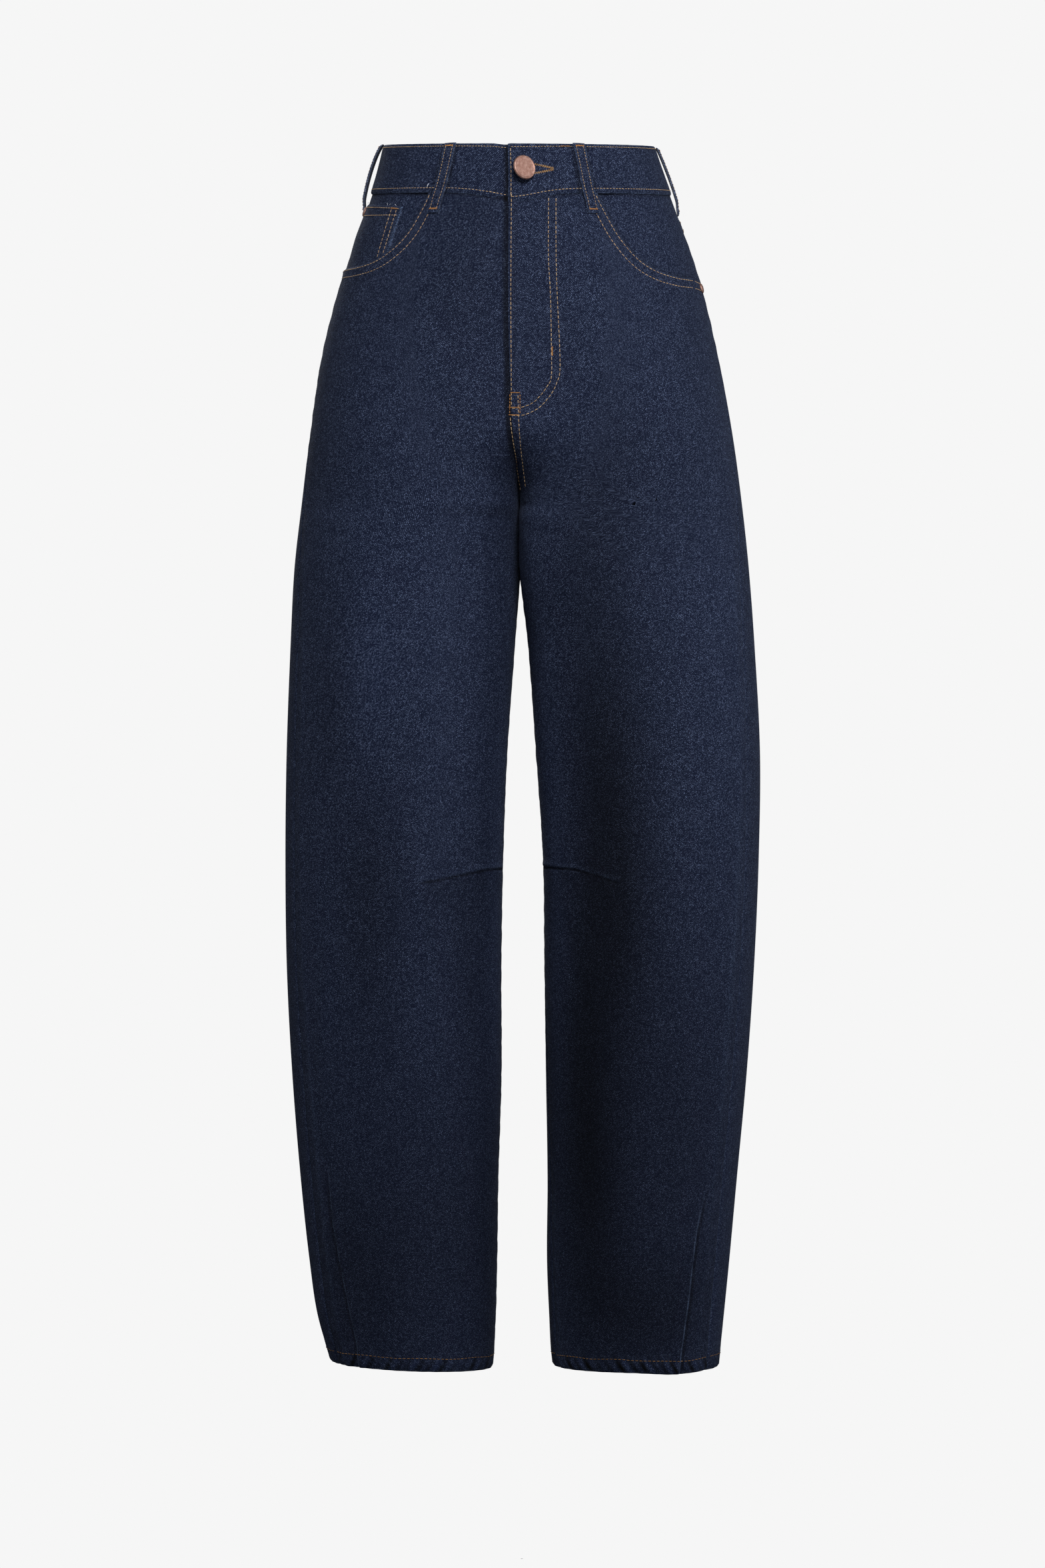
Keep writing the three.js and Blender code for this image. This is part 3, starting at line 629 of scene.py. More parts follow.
def denim(name, ink, weft, inside_colour, wear_and_highlight_colour):
    """Right-hand twill: ink-blue warp through which the paler weft shows unevenly, yarn by yarn, and less so
    towards the hems. The inside shows mostly weft."""
    material, tree = empty_material(name)
    flat = add_node(tree, "ShaderNodeUVMap", uv_map="cloth").outputs[0]
    turned = add_node(tree, "ShaderNodeMapping", {"Vector": flat, "Rotation": (0, 0, -TWILL_TURN)}).outputs[0]
    pitch = 0.31416 / TWILL_PITCH
    wave = {"Vector": turned, "Scale": pitch, "Distortion": 1.1, "Detail": 2, "Detail Scale": 1.5}
    ridges = add_node(tree, "ShaderNodeTexWave", wave, bands_direction="Y").outputs["Fac"]
    yarn_at = {"Vector": scaled(tree, turned, (1 / YARN[0], 1 / YARN[1], 1)), "Scale": 1}
    yarns = add_node(tree, "ShaderNodeTexVoronoi", yarn_at, voronoi_dimensions="2D")
    picks = add_node(tree, "ShaderNodeSeparateColor", {0: yarns.outputs["Color"]}).outputs[0]
    slubs = noise(tree, scaled(tree, flat, SLUB_SCALE), 1, 3, 0.6, noise_dimensions="2D")
    object_at = add_node(tree, "ShaderNodeTexCoord").outputs["Object"]
    cloud = noise(tree, object_at, CLOUD_SCALE, 5, 0.7)
    height = add_node(tree, "ShaderNodeSeparateXYZ", {0: object_at}).outputs["Z"]
    contrast = remap(tree, height, *FADES_BETWEEN, LOW_CONTRAST)
    uneven = 0.0
    for value, share in ((picks, 5.5), (ridges, 1.7), (slubs, 0.8), (cloud, 1.0)):
        uneven = calc(tree, "ADD", uneven, calc(tree, "MULTIPLY", calc(tree, "SUBTRACT", value, 0.5), share))
    showing = calc(tree, "EXPONENT", calc(tree, "MULTIPLY", uneven, contrast))
    showing = calc(tree, "MINIMUM", calc(tree, "MULTIPLY", showing, WEFT_SHARE), MOST_WEFT)
    level = add_node(tree, "ShaderNodeCombineColor", {0: showing, 1: showing, 2: showing}).outputs[0]
    cloth = mix(tree, 1.0, ink, mix(tree, 1.0, weft, level, "MULTIPLY"), "ADD")
    # The cloth's colour is scaled by painted light and shade, with some wear along the hem's puckers.
    light_and_wear_scale = {0: cloth, "Scale": calc(tree, "ADD", mark(tree, "painted_light_and_wear"), 1.0)}
    cloth = add_node(tree, "ShaderNodeVectorMath", light_and_wear_scale, operation="SCALE").outputs[0]
    # Paler where the cloth is worn; the worn mark also paints highlights on lit ridges, such as just above
    # the knee darts.
    broken_by_yarn = remap(tree, calc(tree, "ADD", picks, slubs), 0.6, 1.35, 0.05)
    cloth = mix(tree, calc(tree, "MULTIPLY", mark(tree, "worn"), broken_by_yarn, clamp=True), cloth, wear_and_highlight_colour)
    cloth = mix(tree, calc(tree, "MULTIPLY", mark(tree, "shadow"), 0.8, clamp=True), cloth, SEAM_SHADE)
    cloth = mix(tree, mark(tree, "inside"), cloth, mix(tree, 0.55, inside_colour, level, "MULTIPLY"))
    relief = calc(tree, "ADD", calc(tree, "MULTIPLY", picks, 0.6), calc(tree, "ADD", ridges, slubs))
    return surface(
        material,
        {
            "Base Color": cloth,
            "Roughness": remap(tree, relief, 0.5, 1.8, 0.95, 0.8),
            "Normal": bumps(tree, relief, 0.4, 0.00015),
            "Specular IOR Level": 0.12,
            "Sheen Weight": 0.03,
            "Sheen Roughness": 0.45,
            "Sheen Tint": (0.55, 0.65, 0.95, 1),
        },
    )


INDIGO = denim("indigo_denim", (*WARP_INK, 1), (*WEFT_BLUE, 1), colour(104, 112, 134), colour(92, 110, 142))


def flat_places(points, side_sign):
    """Flat-cloth coordinates of a panel's grid: cloth across from its middle line, and length down."""
    step = np.linalg.norm(np.diff(points, axis=1), axis=-1)
    across = np.concatenate([np.zeros((len(points), 1)), np.cumsum(step, axis=1)], axis=1)
    down = np.linalg.norm(np.diff(points, axis=0), axis=-1)
    length = np.concatenate([np.zeros((1, points.shape[1])), np.cumsum(down, axis=0)])
    middle = across[:, -1:] * 0.5
    return across, length, np.stack([side_sign * (across - middle), points[..., 2]], -1)


def laid_out(side, angle, depth, side_sign):
    """A piece's points on the plain form, its outward directions, and its cloth across and down."""
    base = cloth_face(side, angle, depth)
    return base, outward(side, angle, depth), *flat_places(base, side_sign)


def nearest(points, line):
    """Distance of each point of a grid from a line of points."""
    flat = points.reshape(-1, 3)
    best = np.full(len(flat), 1e9)
    for a, b in zip(line, line[1:]):
        ab = b - a
        t = np.clip(((flat - a) @ ab) / max(ab @ ab, 1e-9), 0, 1)
        best = np.minimum(best, np.linalg.norm(flat - a - t[:, None] * ab, axis=1))
    return best.reshape(points.shape[:2])


def angle_at(side, x, depth, behind=False):
    """The angle at which the front, or the back, stands at a place across."""
    middle, centre, half, _ = half_section(side, depth)
    turn = np.arccos(np.clip((side * (x - middle) - centre) / half, -1, 1))
    return turn if behind else -turn


def lift_reader(edges, side, lines, rows, depth, lift):
    """Reads how far a finished panel stands out from the plain form at any of its places."""

    def read(angle, at_depth):
        column = np.interp(share_of(edges, side, angle, at_depth), lines, np.arange(len(lines)))
        top, foot = (np.interp(column, np.arange(len(lines)), depth[k]) for k in (0, -1))
        row = np.interp((at_depth - top) / (foot - top), rows, np.arange(len(rows)))
        i = np.clip(row.astype(int), 0, len(rows) - 2)
        j = np.clip(column.astype(int), 0, len(lines) - 2)
        a, b = row - i, column - j
        upper = lift[i, j] * (1 - b) + lift[i, j + 1] * b
        lower = lift[i + 1, j] * (1 - b) + lift[i + 1, j + 1] * b
        return upper * (1 - a) + lower * a

    return read


# Painted light and shade: patches where the cloth is painted paler (above 0) or darker to stand for how the
# light falls on it: panel, side, place across, depth, reach across as a share, reach down in mm and strength.
# They were matched to the photo patch by patch.
PAINTED_LIGHT = [
    ("front", -1, 0.66, 630, 0.14, 120, -0.36),
    ("front", -1, 0.30, 900, 0.45, 120, -0.22),
    ("front", -1, 0.80, 950, 0.25, 80, -0.26),
    ("front", -1, 0.50, 400, 0.12, 120, 0.12),
    ("front", -1, 0.66, 440, 0.09, 100, 0.26),
    ("front", -1, 0.06, 610, 0.10, 210, 0.85),
    ("front", -1, 0.28, 690, 0.12, 90, -0.20),
    ("front", -1, 0.81, 480, 0.10, 80, -0.22),
    ("front", -1, 0.22, 110, 0.20, 80, -0.16),
    ("front", 1, 0.45, 640, 0.17, 130, -0.66),
    ("front", 1, 0.26, 725, 0.14, 110, -0.38),
    ("front", 1, 0.30, 870, 0.24, 130, -0.60),
    ("front", 1, 0.44, 480, 0.18, 110, -0.46),
    ("front", 1, 0.45, 320, 0.15, 80, -0.28),
    ("front", 1, 0.62, 975, 0.40, 50, -0.36),
    ("front", 1, 0.08, 540, 0.13, 180, 0.74),
    ("front", 1, 0.72, 800, 0.20, 160, -0.24),
    ("front", 1, 0.92, 380, 0.12, 200, 0.16),
]


def painted_light_of(panel, side, share, depth):
    tone = np.zeros(np.shape(depth))
    for which, patch_side, line, middle, wide, tall, strength in PAINTED_LIGHT:
        if which == panel and patch_side == side:
            tone += strength * np.exp(-(((share - line) / wide) ** 2) - ((depth - middle) / tall) ** 2)
    return tone


KNEE_ROWS = np.linspace(590, 632, 40)
front_cloth = {}
for side, name in SIDES:
    dart_places, dart_depths = (np.array(row, float) for row in HEM_DART[side])
    dart_shares = share_of(front_edges, side, angle_at(side, side * dart_places, dart_depths), dart_depths)
    dart_lines = np.linspace(dart_shares.min() - 0.015, dart_shares.max() + 0.015, 60)
    lines = close_at_ends(84, dart_lines)
    knee_shares = (KNEE_ROWS - 60) / (HEM - 60)
    rows = close_at_ends(260, knee_shares, (0, 0.0003, 0.001, 0.0025, 0.005, 0.009))
    angle, depth = panel_places(side, front_edges, front_top, hem_line, lines, rows)
    base, out, across, length, cloth_uv = laid_out(side, angle, depth, side)
    from_inner, from_side = across, across[:, -1:] - across
    to_hem = depth[-1:] - depth
    share = share_of(front_edges, side, angle, depth)
    from_mouth = nearest(base, mouth_points(side))
    by_mouth = (depth < 130) * 1.0
    lift = front_lift(side, angle, depth)
    fly = (depth < 290) & (side > 0)
    lift += np.where(fly, seam_roll(from_inner, 0.35, 0.9), seam_roll(from_inner))
    lift += seam_roll(from_side) + seam_roll(from_mouth, 0.5, 1.0)
    lift += 0.35 * fade(np.maximum(0, from_mouth - 1.5), 6) * by_mouth
    lift += puckers(length, from_mouth - 5, 11, 0.16, 6) * by_mouth
    lift += puckers(length, from_side - 5, 17, 0.30, 6, 0.7)
    lift += puckers(length, from_inner - 4, 15, 0.28, 7, 1.9)
    pressed = fade(from_side - 12, 3.2) * ease(depth, 260, 420)
    lift += 0.55 * pressed
    lift += seam_roll(to_hem, 1.2, 2.4) + 0.5 * (1 - ease(to_hem, 10, 14))
    lift += puckers(across + 0.8 * to_hem, to_hem - 6, 12, 0.62, 8, 2.6)
    outer = base + out * lift[..., None]
    thick = CLOTH + 1.1 * (1 - ease(to_hem, 11, 12.5))
    inner = base + out * (lift - thick)[..., None]
    below, shown = knee_dart(side, base[..., 0], depth)
    beside, shown_hem = hem_dart(side, base[..., 0], depth)
    worn = 0.3 * fade(from_mouth, 0.8) * by_mouth + 0.14 * fade(from_inner, 0.7)
    worn += 0.12 * pressed * (0.6 + 0.4 * np.sin(length / 83 + side)) + 0.2 * fade(to_hem, 0.8)
    worn += 1.2 * shown_hem * fade(beside + 0.9, 0.5) * (0.7 + 0.3 * np.sin(length * 2.1))
    if side > 0:
        inseam = ease(depth, 840, 900)
        worn += 0.7 * inseam * fade(from_inner - 0.9, 0.6) * (0.6 + 0.4 * np.sin(length * 2.1))
        worn += 0.10 * inseam * fade(from_inner - 7, 5)
    # Painted highlight on the lit ridge just above the knee dart.
    worn += 0.10 * shown * fade(below + 2.2, 1.3)
    dim = 1.0 * shown * fade(below, 0.8) + 0.7 * shown_hem * fade(beside - 0.9, 1.0)
    dim += 0.65 * fade(np.maximum(0, depth - band_seam(side, angle)), 1.2)
    if side < 0:
        under = half_section(side, depth)[0] - lap_width(depth) - base[..., 0]
        dim += 0.9 * (1 - ease(under, 2.2, 4.6)) * (1 - ease(depth, 250, 296))
    else:
        dim += 0.22 * fade(from_inner - 5.6, 0.9) * (1 - ease(depth, 205, 215))
    # Painted light and shade: the listed patches, and darker towards the hems.
    painted_light_and_wear = 1 + np.maximum(-0.72, painted_light_of("front", side, share, depth)) - 0.10 * ease(depth, 640, 900)
    # Painted shade on the cloth just below the knee dart.
    painted_light_and_wear *= 1 - 0.24 * shown * ease(below, -0.5, 1) * np.exp(-np.maximum(0, below) / 42)
    # Paler and darker streaks along the hem's puckers: partly wear on their ridges, partly painted highlight
    # and shade.
    painted_light_and_wear += puckers(across + 0.5 * to_hem, to_hem - 5, 9, 0.9, 6, 0.4) - 1
    marks = {"worn": worn, "shadow": dim, "painted_light_and_wear": painted_light_and_wear}
    mesh = cloth_mesh(f"front_{name}", outer, inner, cloth_uv, marks)
    front = made_piece(f"front_{name}_denim", mesh, INDIGO, "denim", f"front_{name}", f"front_{name}_lower")
    front_cloth[side] = lift_reader(front_edges, side, lines, rows, depth, lift)


ON_CLOTH = 0.12
TWIN_ROWS, MOUTH_ROWS = (1.9, 8.2), (2.1, 8.3)
HEM_ROW = 11.2


def resting(side, angle, depth, lift):
    """Points and outward directions on a piece, in from or out from the plain form by its lift."""
    out = outward(side, angle, depth)
    return cloth_face(side, angle, depth) + out * np.asarray(lift)[..., None], out


def beside_line(line, distance):
    """A row of places beside a line in the front or back view, to the left of its direction."""
    ahead = np.gradient(line, axis=0)
    ahead /= np.linalg.norm(ahead, axis=1, keepdims=True)
    return line + distance * np.stack([ahead[:, 1], -ahead[:, 0]], 1)


def row_of_stitches(points, outs, pitch=3.6, gap=0.9, thick=0.62):
    """Middle, direction, outward direction, length and thickness of each stitch along a line."""
    step = np.linalg.norm(np.diff(points, axis=0), axis=1)
    reach = np.concatenate([[0], np.cumsum(step)])
    count = max(1, round(reach[-1] / pitch))
    pitch = reach[-1] / count
    places = (np.arange(count) + 0.5) * pitch

    def at(values, where):
        return np.stack([np.interp(where, reach, values[:, k]) for k in range(3)], 1)

    ahead = at(points, places + pitch / 2) - at(points, places - pitch / 2)
    return [(m, a, o, pitch - gap, thick) for m, a, o in zip(at(points, places), ahead, at(outs, places))]


def bar_of_stitches(points, outs, length, width):
    """A bartack: thread laid tightly across a short bar, which lies along the first two points."""
    middle, out = points[0], outs[0]
    ahead = (points[1] - middle) / np.linalg.norm(points[1] - middle)
    across = np.cross(out, ahead)
    count = max(3, round(length / 0.62))
    bar = []
    for k in range(count):
        place = middle + ahead * ((k + 0.5) / count - 0.5) * length
        bar.append((place, across + (0.3 if k % 2 else -0.3) * ahead, out, width, 0.5))
    return bar


GRAIN_RINGS = [(-0.5, 0.35, -0.45), (-0.32, 0.95, 0.12), (0.32, 0.95, 0.12), (0.5, 0.35, -0.45)]


def thread_mesh(name, stitches, sides=5):
    """Each stitch is a small plump grain of thread that dips into the cloth at both ends. Its rings are given
    by their place along it, their width and their height."""
    middle, ahead, out = (np.array([s[k] for s in stitches]) for k in range(3))
    length, thick = (np.array([s[k] for s in stitches])[:, None] for k in (3, 4))
    ahead = ahead / np.linalg.norm(ahead, axis=1, keepdims=True)
    across = np.cross(ahead, out)
    across /= np.linalg.norm(across, axis=1, keepdims=True)
    out = np.cross(across, ahead)
    turn = np.linspace(0, 2 * math.pi, sides, endpoint=False) + 0.3
    rings = []
    for along, wide, lift in GRAIN_RINGS:
        core = middle + ahead * along * length + out * (lift * thick)
        ring = [core + (across * math.cos(a) + out * 0.8 * math.sin(a)) * wide * thick / 2 for a in turn]
        rings.append(np.stack(ring, 1))
    points = np.stack(rings, 1) * MM
    corner = np.arange(4 * sides).reshape(4, sides)
    after = np.roll(corner, -1, axis=1)
    grain = np.stack([corner[:-1], after[:-1], after[1:], corner[1:]], -1).reshape(-1, 4)
    faces = (np.arange(len(stitches))[:, None, None] * 4 * sides + grain).reshape(-1, 4)
    mesh = bpy.data.meshes.new(name)
    mesh.from_pydata(points.reshape(-1, 3).tolist(), [], faces.tolist())
    mesh.shade_smooth()
    return mesh


def thread(name, light, dark):
    """Spun polyester sewing thread with a fine twist and slightly uneven dye."""
    material, tree = empty_material(name)
    place = add_node(tree, "ShaderNodeTexCoord").outputs["Object"]
    plies = noise(tree, place, 2600, 1)
    shade = remap(tree, calc(tree, "ADD", plies, noise(tree, place, 190, 2)), 0.72, 1.3)
    twist = bumps(tree, plies, 0.5, 0.0001)
    dyed = mix(tree, shade, dark, light)
    inputs = {"Base Color": dyed, "Roughness": 0.62, "Normal": twist, "Specular IOR Level": 0.35}
    return surface(material, inputs)


TAN_THREAD = thread("tan_thread", colour(222, 190, 148), colour(146, 118, 90))
GOLD_THREAD = thread("gold_thread", colour(206, 148, 84), colour(146, 96, 50))
BROWN_THREAD = thread("brown_thread", colour(158, 118, 72), colour(92, 66, 42))


def sewing(name, stitches, material):
    return made_piece(name, thread_mesh(name, stitches), material, "thread")


def on_front(side, x, depth, above=ON_CLOTH):
    x, depth = np.asarray(x, float), np.asarray(depth, float)
    angle = angle_at(side, x, depth)
    return resting(side, angle, depth, front_cloth[side](angle, depth) + above)


def hem_row(side, edges, cloth, waver):
    """The row that holds a hem, a little unsteady in height."""
    share = np.linspace(0.012, 0.988, 160)
    first, last = edges(side, HEM - 11.0)
    angle = first + (last - first) * share
    depth = hem_line(side, angle, HEM) - HEM_ROW + 0.35 * np.sin(waver(share))
    return row_of_stitches(*resting(side, angle, depth, cloth(angle, depth) + ON_CLOTH), 3.6, 0.9, 0.55)


# Front topstitching. Twin rows follow the pocket mouths, the fly's curve and the seam below it, one row
# holds the fly's folded edge, and one browner row holds each hem. Bartacks close the ends that take strain.
FLY_CURVE_INNER = [
    (26.6, 57), (26.8, 105), (28.6, 138), (29.4, 180), (29.4, 204), (26.3, 211.6), (21, 219), (13.7, 226),
    (3.3, 229.8), (-3, 230.2),
]
FLY_CURVE_OUTER = [
    (32.6, 57), (33, 105), (34, 136), (36, 178), (36.3, 200), (34.1, 208.5), (30.4, 216.7), (24.1, 225),
    (17.9, 230.6), (9.4, 234.8), (3.3, 236), (-3, 236),
]
FLY_EDGE_ROW = [(-3.6, 54), (-3.6, 140), (-3.1, 200), (-2.9, 228)]
CROTCH_INNER = [(-3.6, 237), (-2.0, 256), (0.2, 277), (1.8, 294)]
CROTCH_OUTER = [(2.2, 219), (2.8, 238), (3.9, 258), (5.4, 278), (6.4, 292)]
MOUTH_PITCH, FLY_PITCH = 3.75, 3.9
for side, name in SIDES:
    rows = []
    mouth = np.stack(mouth_places(side), 1)
    for away in MOUTH_ROWS:
        row = beside_line(mouth, -side * away)
        start = 52 if away < 5 else 57
        rows += row_of_stitches(*on_front(side, *row[(row[:, 1] > start)].T), MOUTH_PITCH)
    sides = angle_at(side, mouth[-1:, 0], mouth[-1:, 1])
    for away in MOUTH_ROWS:
        turn = np.linspace(float(sides[0]), float(front_edges(side, mouth[-1, 1] + away)[1]) - 0.012, 12)
        depth = np.full(12, mouth[-1, 1] + away)
        points, outs = resting(side, turn, depth, front_cloth[side](turn, depth) + ON_CLOTH)
        keep = side * points[:, 0] > side * beside_line(mouth, -side * away)[-1, 0] + 1
        if keep.sum() > 3:
            rows += row_of_stitches(points[keep], outs[keep], MOUTH_PITCH)
    if side > 0:
        for curve in (FLY_CURVE_INNER, FLY_CURVE_OUTER, FLY_EDGE_ROW, CROTCH_INNER, CROTCH_OUTER):
            rows += row_of_stitches(*on_front(side, *smooth_line(curve).T), FLY_PITCH)
    sewing(f"front_{name}_topstitching", rows, TAN_THREAD)
    stitches = hem_row(side, front_edges, front_cloth[side], lambda share: share * 23 + side)
    sewing(f"front_{name}_hem_stitching", stitches, BROWN_THREAD)

tacks = []
for x, depth, length, width, upright in (
    (30.0, 183.5, 7.5, 1.5, True),
    (0, 217.3, 8.1, 0.95, False),
    (-0.9, 229.4, 8.7, 0.95, False),
    (-0.9, 235.5, 8.7, 0.95, False),
):
    points, outs = on_front(1, [x, x + (not upright)], [depth, depth + upright], 0.15)
    tacks += bar_of_stitches(points, outs, length, width)
for x in (-4.0, 3.9):
    tacks += row_of_stitches(*on_front(1, [x, x], [218.5, 234.5]), 2.6, 0.6)
sewing("fly_bartacks", tacks, GOLD_THREAD)


# Pocket facings. A layer of the same denim lies under each slanted mouth and rises to meet the waistband
# and the side seam, where it is sewn in.
def under_band(side, angle, depth):
    return band_seam(side, angle) - UNDER_BAND


def facing_bottom(side, angle, depth):
    return np.full(np.shape(angle), 138.0)


def facing_edges(side, depth):
    first, last = front_edges(side, depth)
    return first + (last - first) * 0.3, last


def facing_lift(side, points):
    """The facing lies lowest under the mouth's edge."""
    away = nearest(points, mouth_points(side))
    above = mouth_depth(side, points[..., 0]) > WAIST_DEPTH - points[..., 2]
    return np.where(above, -2.3 + 2.0 * ease(away, 2, 34), -2.3)


for side, name in SIDES:
    lines, rows = close_at_ends(70), close_at_ends(46)
    angle, depth = panel_places(side, facing_edges, under_band, facing_bottom, lines, rows)
    base, out, across, length, cloth_uv = laid_out(side, angle, depth, side)
    lift = facing_lift(side, base) + seam_roll(across[:, -1:] - across)
    wear = 0.4 * fade(across[:, -1:] - across, 0.8)
    shade = 0.8 * fade(nearest(base, mouth_points(side)), 2.2)
    shade += 0.65 * fade(np.maximum(0, depth - band_seam(side, angle)), 1.2)
    mesh = shell(f"pocket_facing_{name}", base, out, lift, cloth_uv, wear, shade)
    facing = made_piece(f"pocket_facing_{name}_denim", mesh, INDIGO, "denim_inner", f"pocket_facing_{name}")


# Coin pocket. A small patch on the wearer's right facing: its hemmed top edge and its slanted inner edge are
# topstitched twice, the inner edge shows the cloth's pale woven selvedge, and its foot runs into the mouth.
COIN_TOP = [(-95.1, 60.3), (-112, 56.2), (-128, 52.4), (-140, 50.2)]
COIN_SLANT = [(-95.1, 60.3), (-101, 78.4), (-107, 96), (-111, 112)]


def coin_places(u, v):
    top = np.interp(u, (0, 0.35, 0.7, 1), [d for _, d in COIN_TOP])
    bottom = np.interp(u, (0, 0.3, 0.6, 1), (104, 109, 111.5, 110.5))
    depth = top + (bottom - top) * v
    inner = angle_at(-1, np.interp(depth, *np.array(COIN_SLANT)[:, ::-1].T), depth)
    outer = front_edges(-1, depth)[1]
    return inner + (outer - inner) * u, depth


u, v = np.meshgrid(close_at_ends(40), close_at_ends(130))
angle, depth = coin_places(u, v)
base, out, across, length, cloth_uv = laid_out(-1, angle, depth, -1)
coin_lift = facing_lift(-1, base) + CLOTH + 0.1
lift = coin_lift + seam_roll(across, 0.3, 1.1) + seam_roll(length, 0.3, 1.1)
lift += seam_roll(across[:, -1:] - across)
selvedge = fade(across - 0.7, 0.6) * (0.35 + 0.65 * (np.sin(length * 2.9) > -0.1))
wear = 1.3 * selvedge + 0.3 * fade(length, 0.7)
mesh = shell("coin_pocket", base, out, lift, cloth_uv, wear)
coin = made_piece("coin_pocket_denim", mesh, INDIGO, "denim_inner", "coin_pocket")
rows = []
for u, v in (
    (np.linspace(0.03, 0.97, 60), 0.045),
    (np.linspace(0.03, 0.97, 60), 0.165),
    (0.06, np.linspace(0.06, 0.86, 60)),
    (0.128, np.linspace(0.06, 0.90, 60)),
):
    angle, depth = coin_places(*np.broadcast_arrays(u, v))
    lift = facing_lift(-1, cloth_face(-1, angle, depth)[None])[0] + CLOTH + 0.25
    rows += row_of_stitches(*resting(-1, angle, depth, lift))
row_work = sewing("coin_pocket_topstitching", rows, TAN_THREAD)
angle, depth = coin_places(np.array([0.10, 0.12]), np.array([0.045, 0.045]))
lift = facing_lift(-1, cloth_face(-1, angle, depth)[None])[0] + CLOTH + 0.4
tack = bar_of_stitches(*resting(-1, angle, depth, lift), 7.5, 1.3)
coin_tack = sewing("coin_pocket_bartack", tack, GOLD_THREAD)
PALE_THREAD = thread("pale_thread", colour(232, 236, 244), colour(176, 184, 204))
# Place across, length in mm and lean
FRAYS = [(0.08, 2.4, 0.5), (0.16, 1.8, -0.6), (0.20, 2.6, 0.2), (0.74, 2.0, -0.3), (0.80, 1.6, 0.8)]
frays = []
for u, length, lean in FRAYS:
    angle, depth = coin_places(np.array([u, u + 0.01]), np.array([-0.018, -0.018]))
    lift = facing_lift(-1, cloth_face(-1, angle, depth)[None])[0] + CLOTH + 0.5
    (point, ahead), (out, _) = resting(-1, angle, depth, lift)
    frays.append((point, (ahead - point) * lean * 2 + np.array([0, 0, 0.8]), out, length, 0.35))
fray = sewing("coin_pocket_frayed_ends", frays, PALE_THREAD)


# Yokes and backs. The yoke is felled over the top of each back and the seat seam is felled too, so both
# stand a layer proud and carry twin rows of topstitching.
FELL = 10


def yoke_seam(side, angle):
    return band_seam(side, angle) + 30 + 30 * np.maximum(0, np.sin(angle))


def edges_behind(side, inner, depth):
    outer, inset = -seam_turn("side", depth), SEAM_GAP / 2
    return inner - inset / arc_reach(side, inner, depth), outer + inset / arc_reach(side, outer, depth)


def yoke_edges(side, depth):
    return edges_behind(side, fork(depth), depth)


def back_edges(side, depth):
    return edges_behind(side, fork(depth) + inseam_turn(side, depth), depth)


def yoke_bottom(side, angle, depth):
    return yoke_seam(side, angle)


def back_top(side, angle, depth):
    return yoke_seam(side, angle) - UNDER_BAND


def seat_fell(side, x, depth):
    """The wearer's left back is felled over the right one down the seat seam."""
    return (0.7 * (1 - ease(x, FELL - 1, FELL + 1)) if side > 0 else 0) * (1 - ease(depth, 292, 304))


def back_lift(side, angle, depth):
    share = share_of(back_edges, side, angle, depth)
    x = cloth_face(side, angle, depth)[..., 0]
    lift = fold_height("back", side, share, depth) + crease_height("back", side, share, depth)
    return lift + seat_fell(side, x, depth)


def yoke_lift(side, angle, depth):
    x = cloth_face(side, angle, depth)[..., 0]
    near = yoke_seam(side, angle) - depth
    fell = 0.8 * (1 - ease(near, FELL - 1, FELL + 1)) * (0.3 + 0.7 * ease(angle, 0, 0.35))
    return 0.15 + fell + seat_fell(side, x, depth)


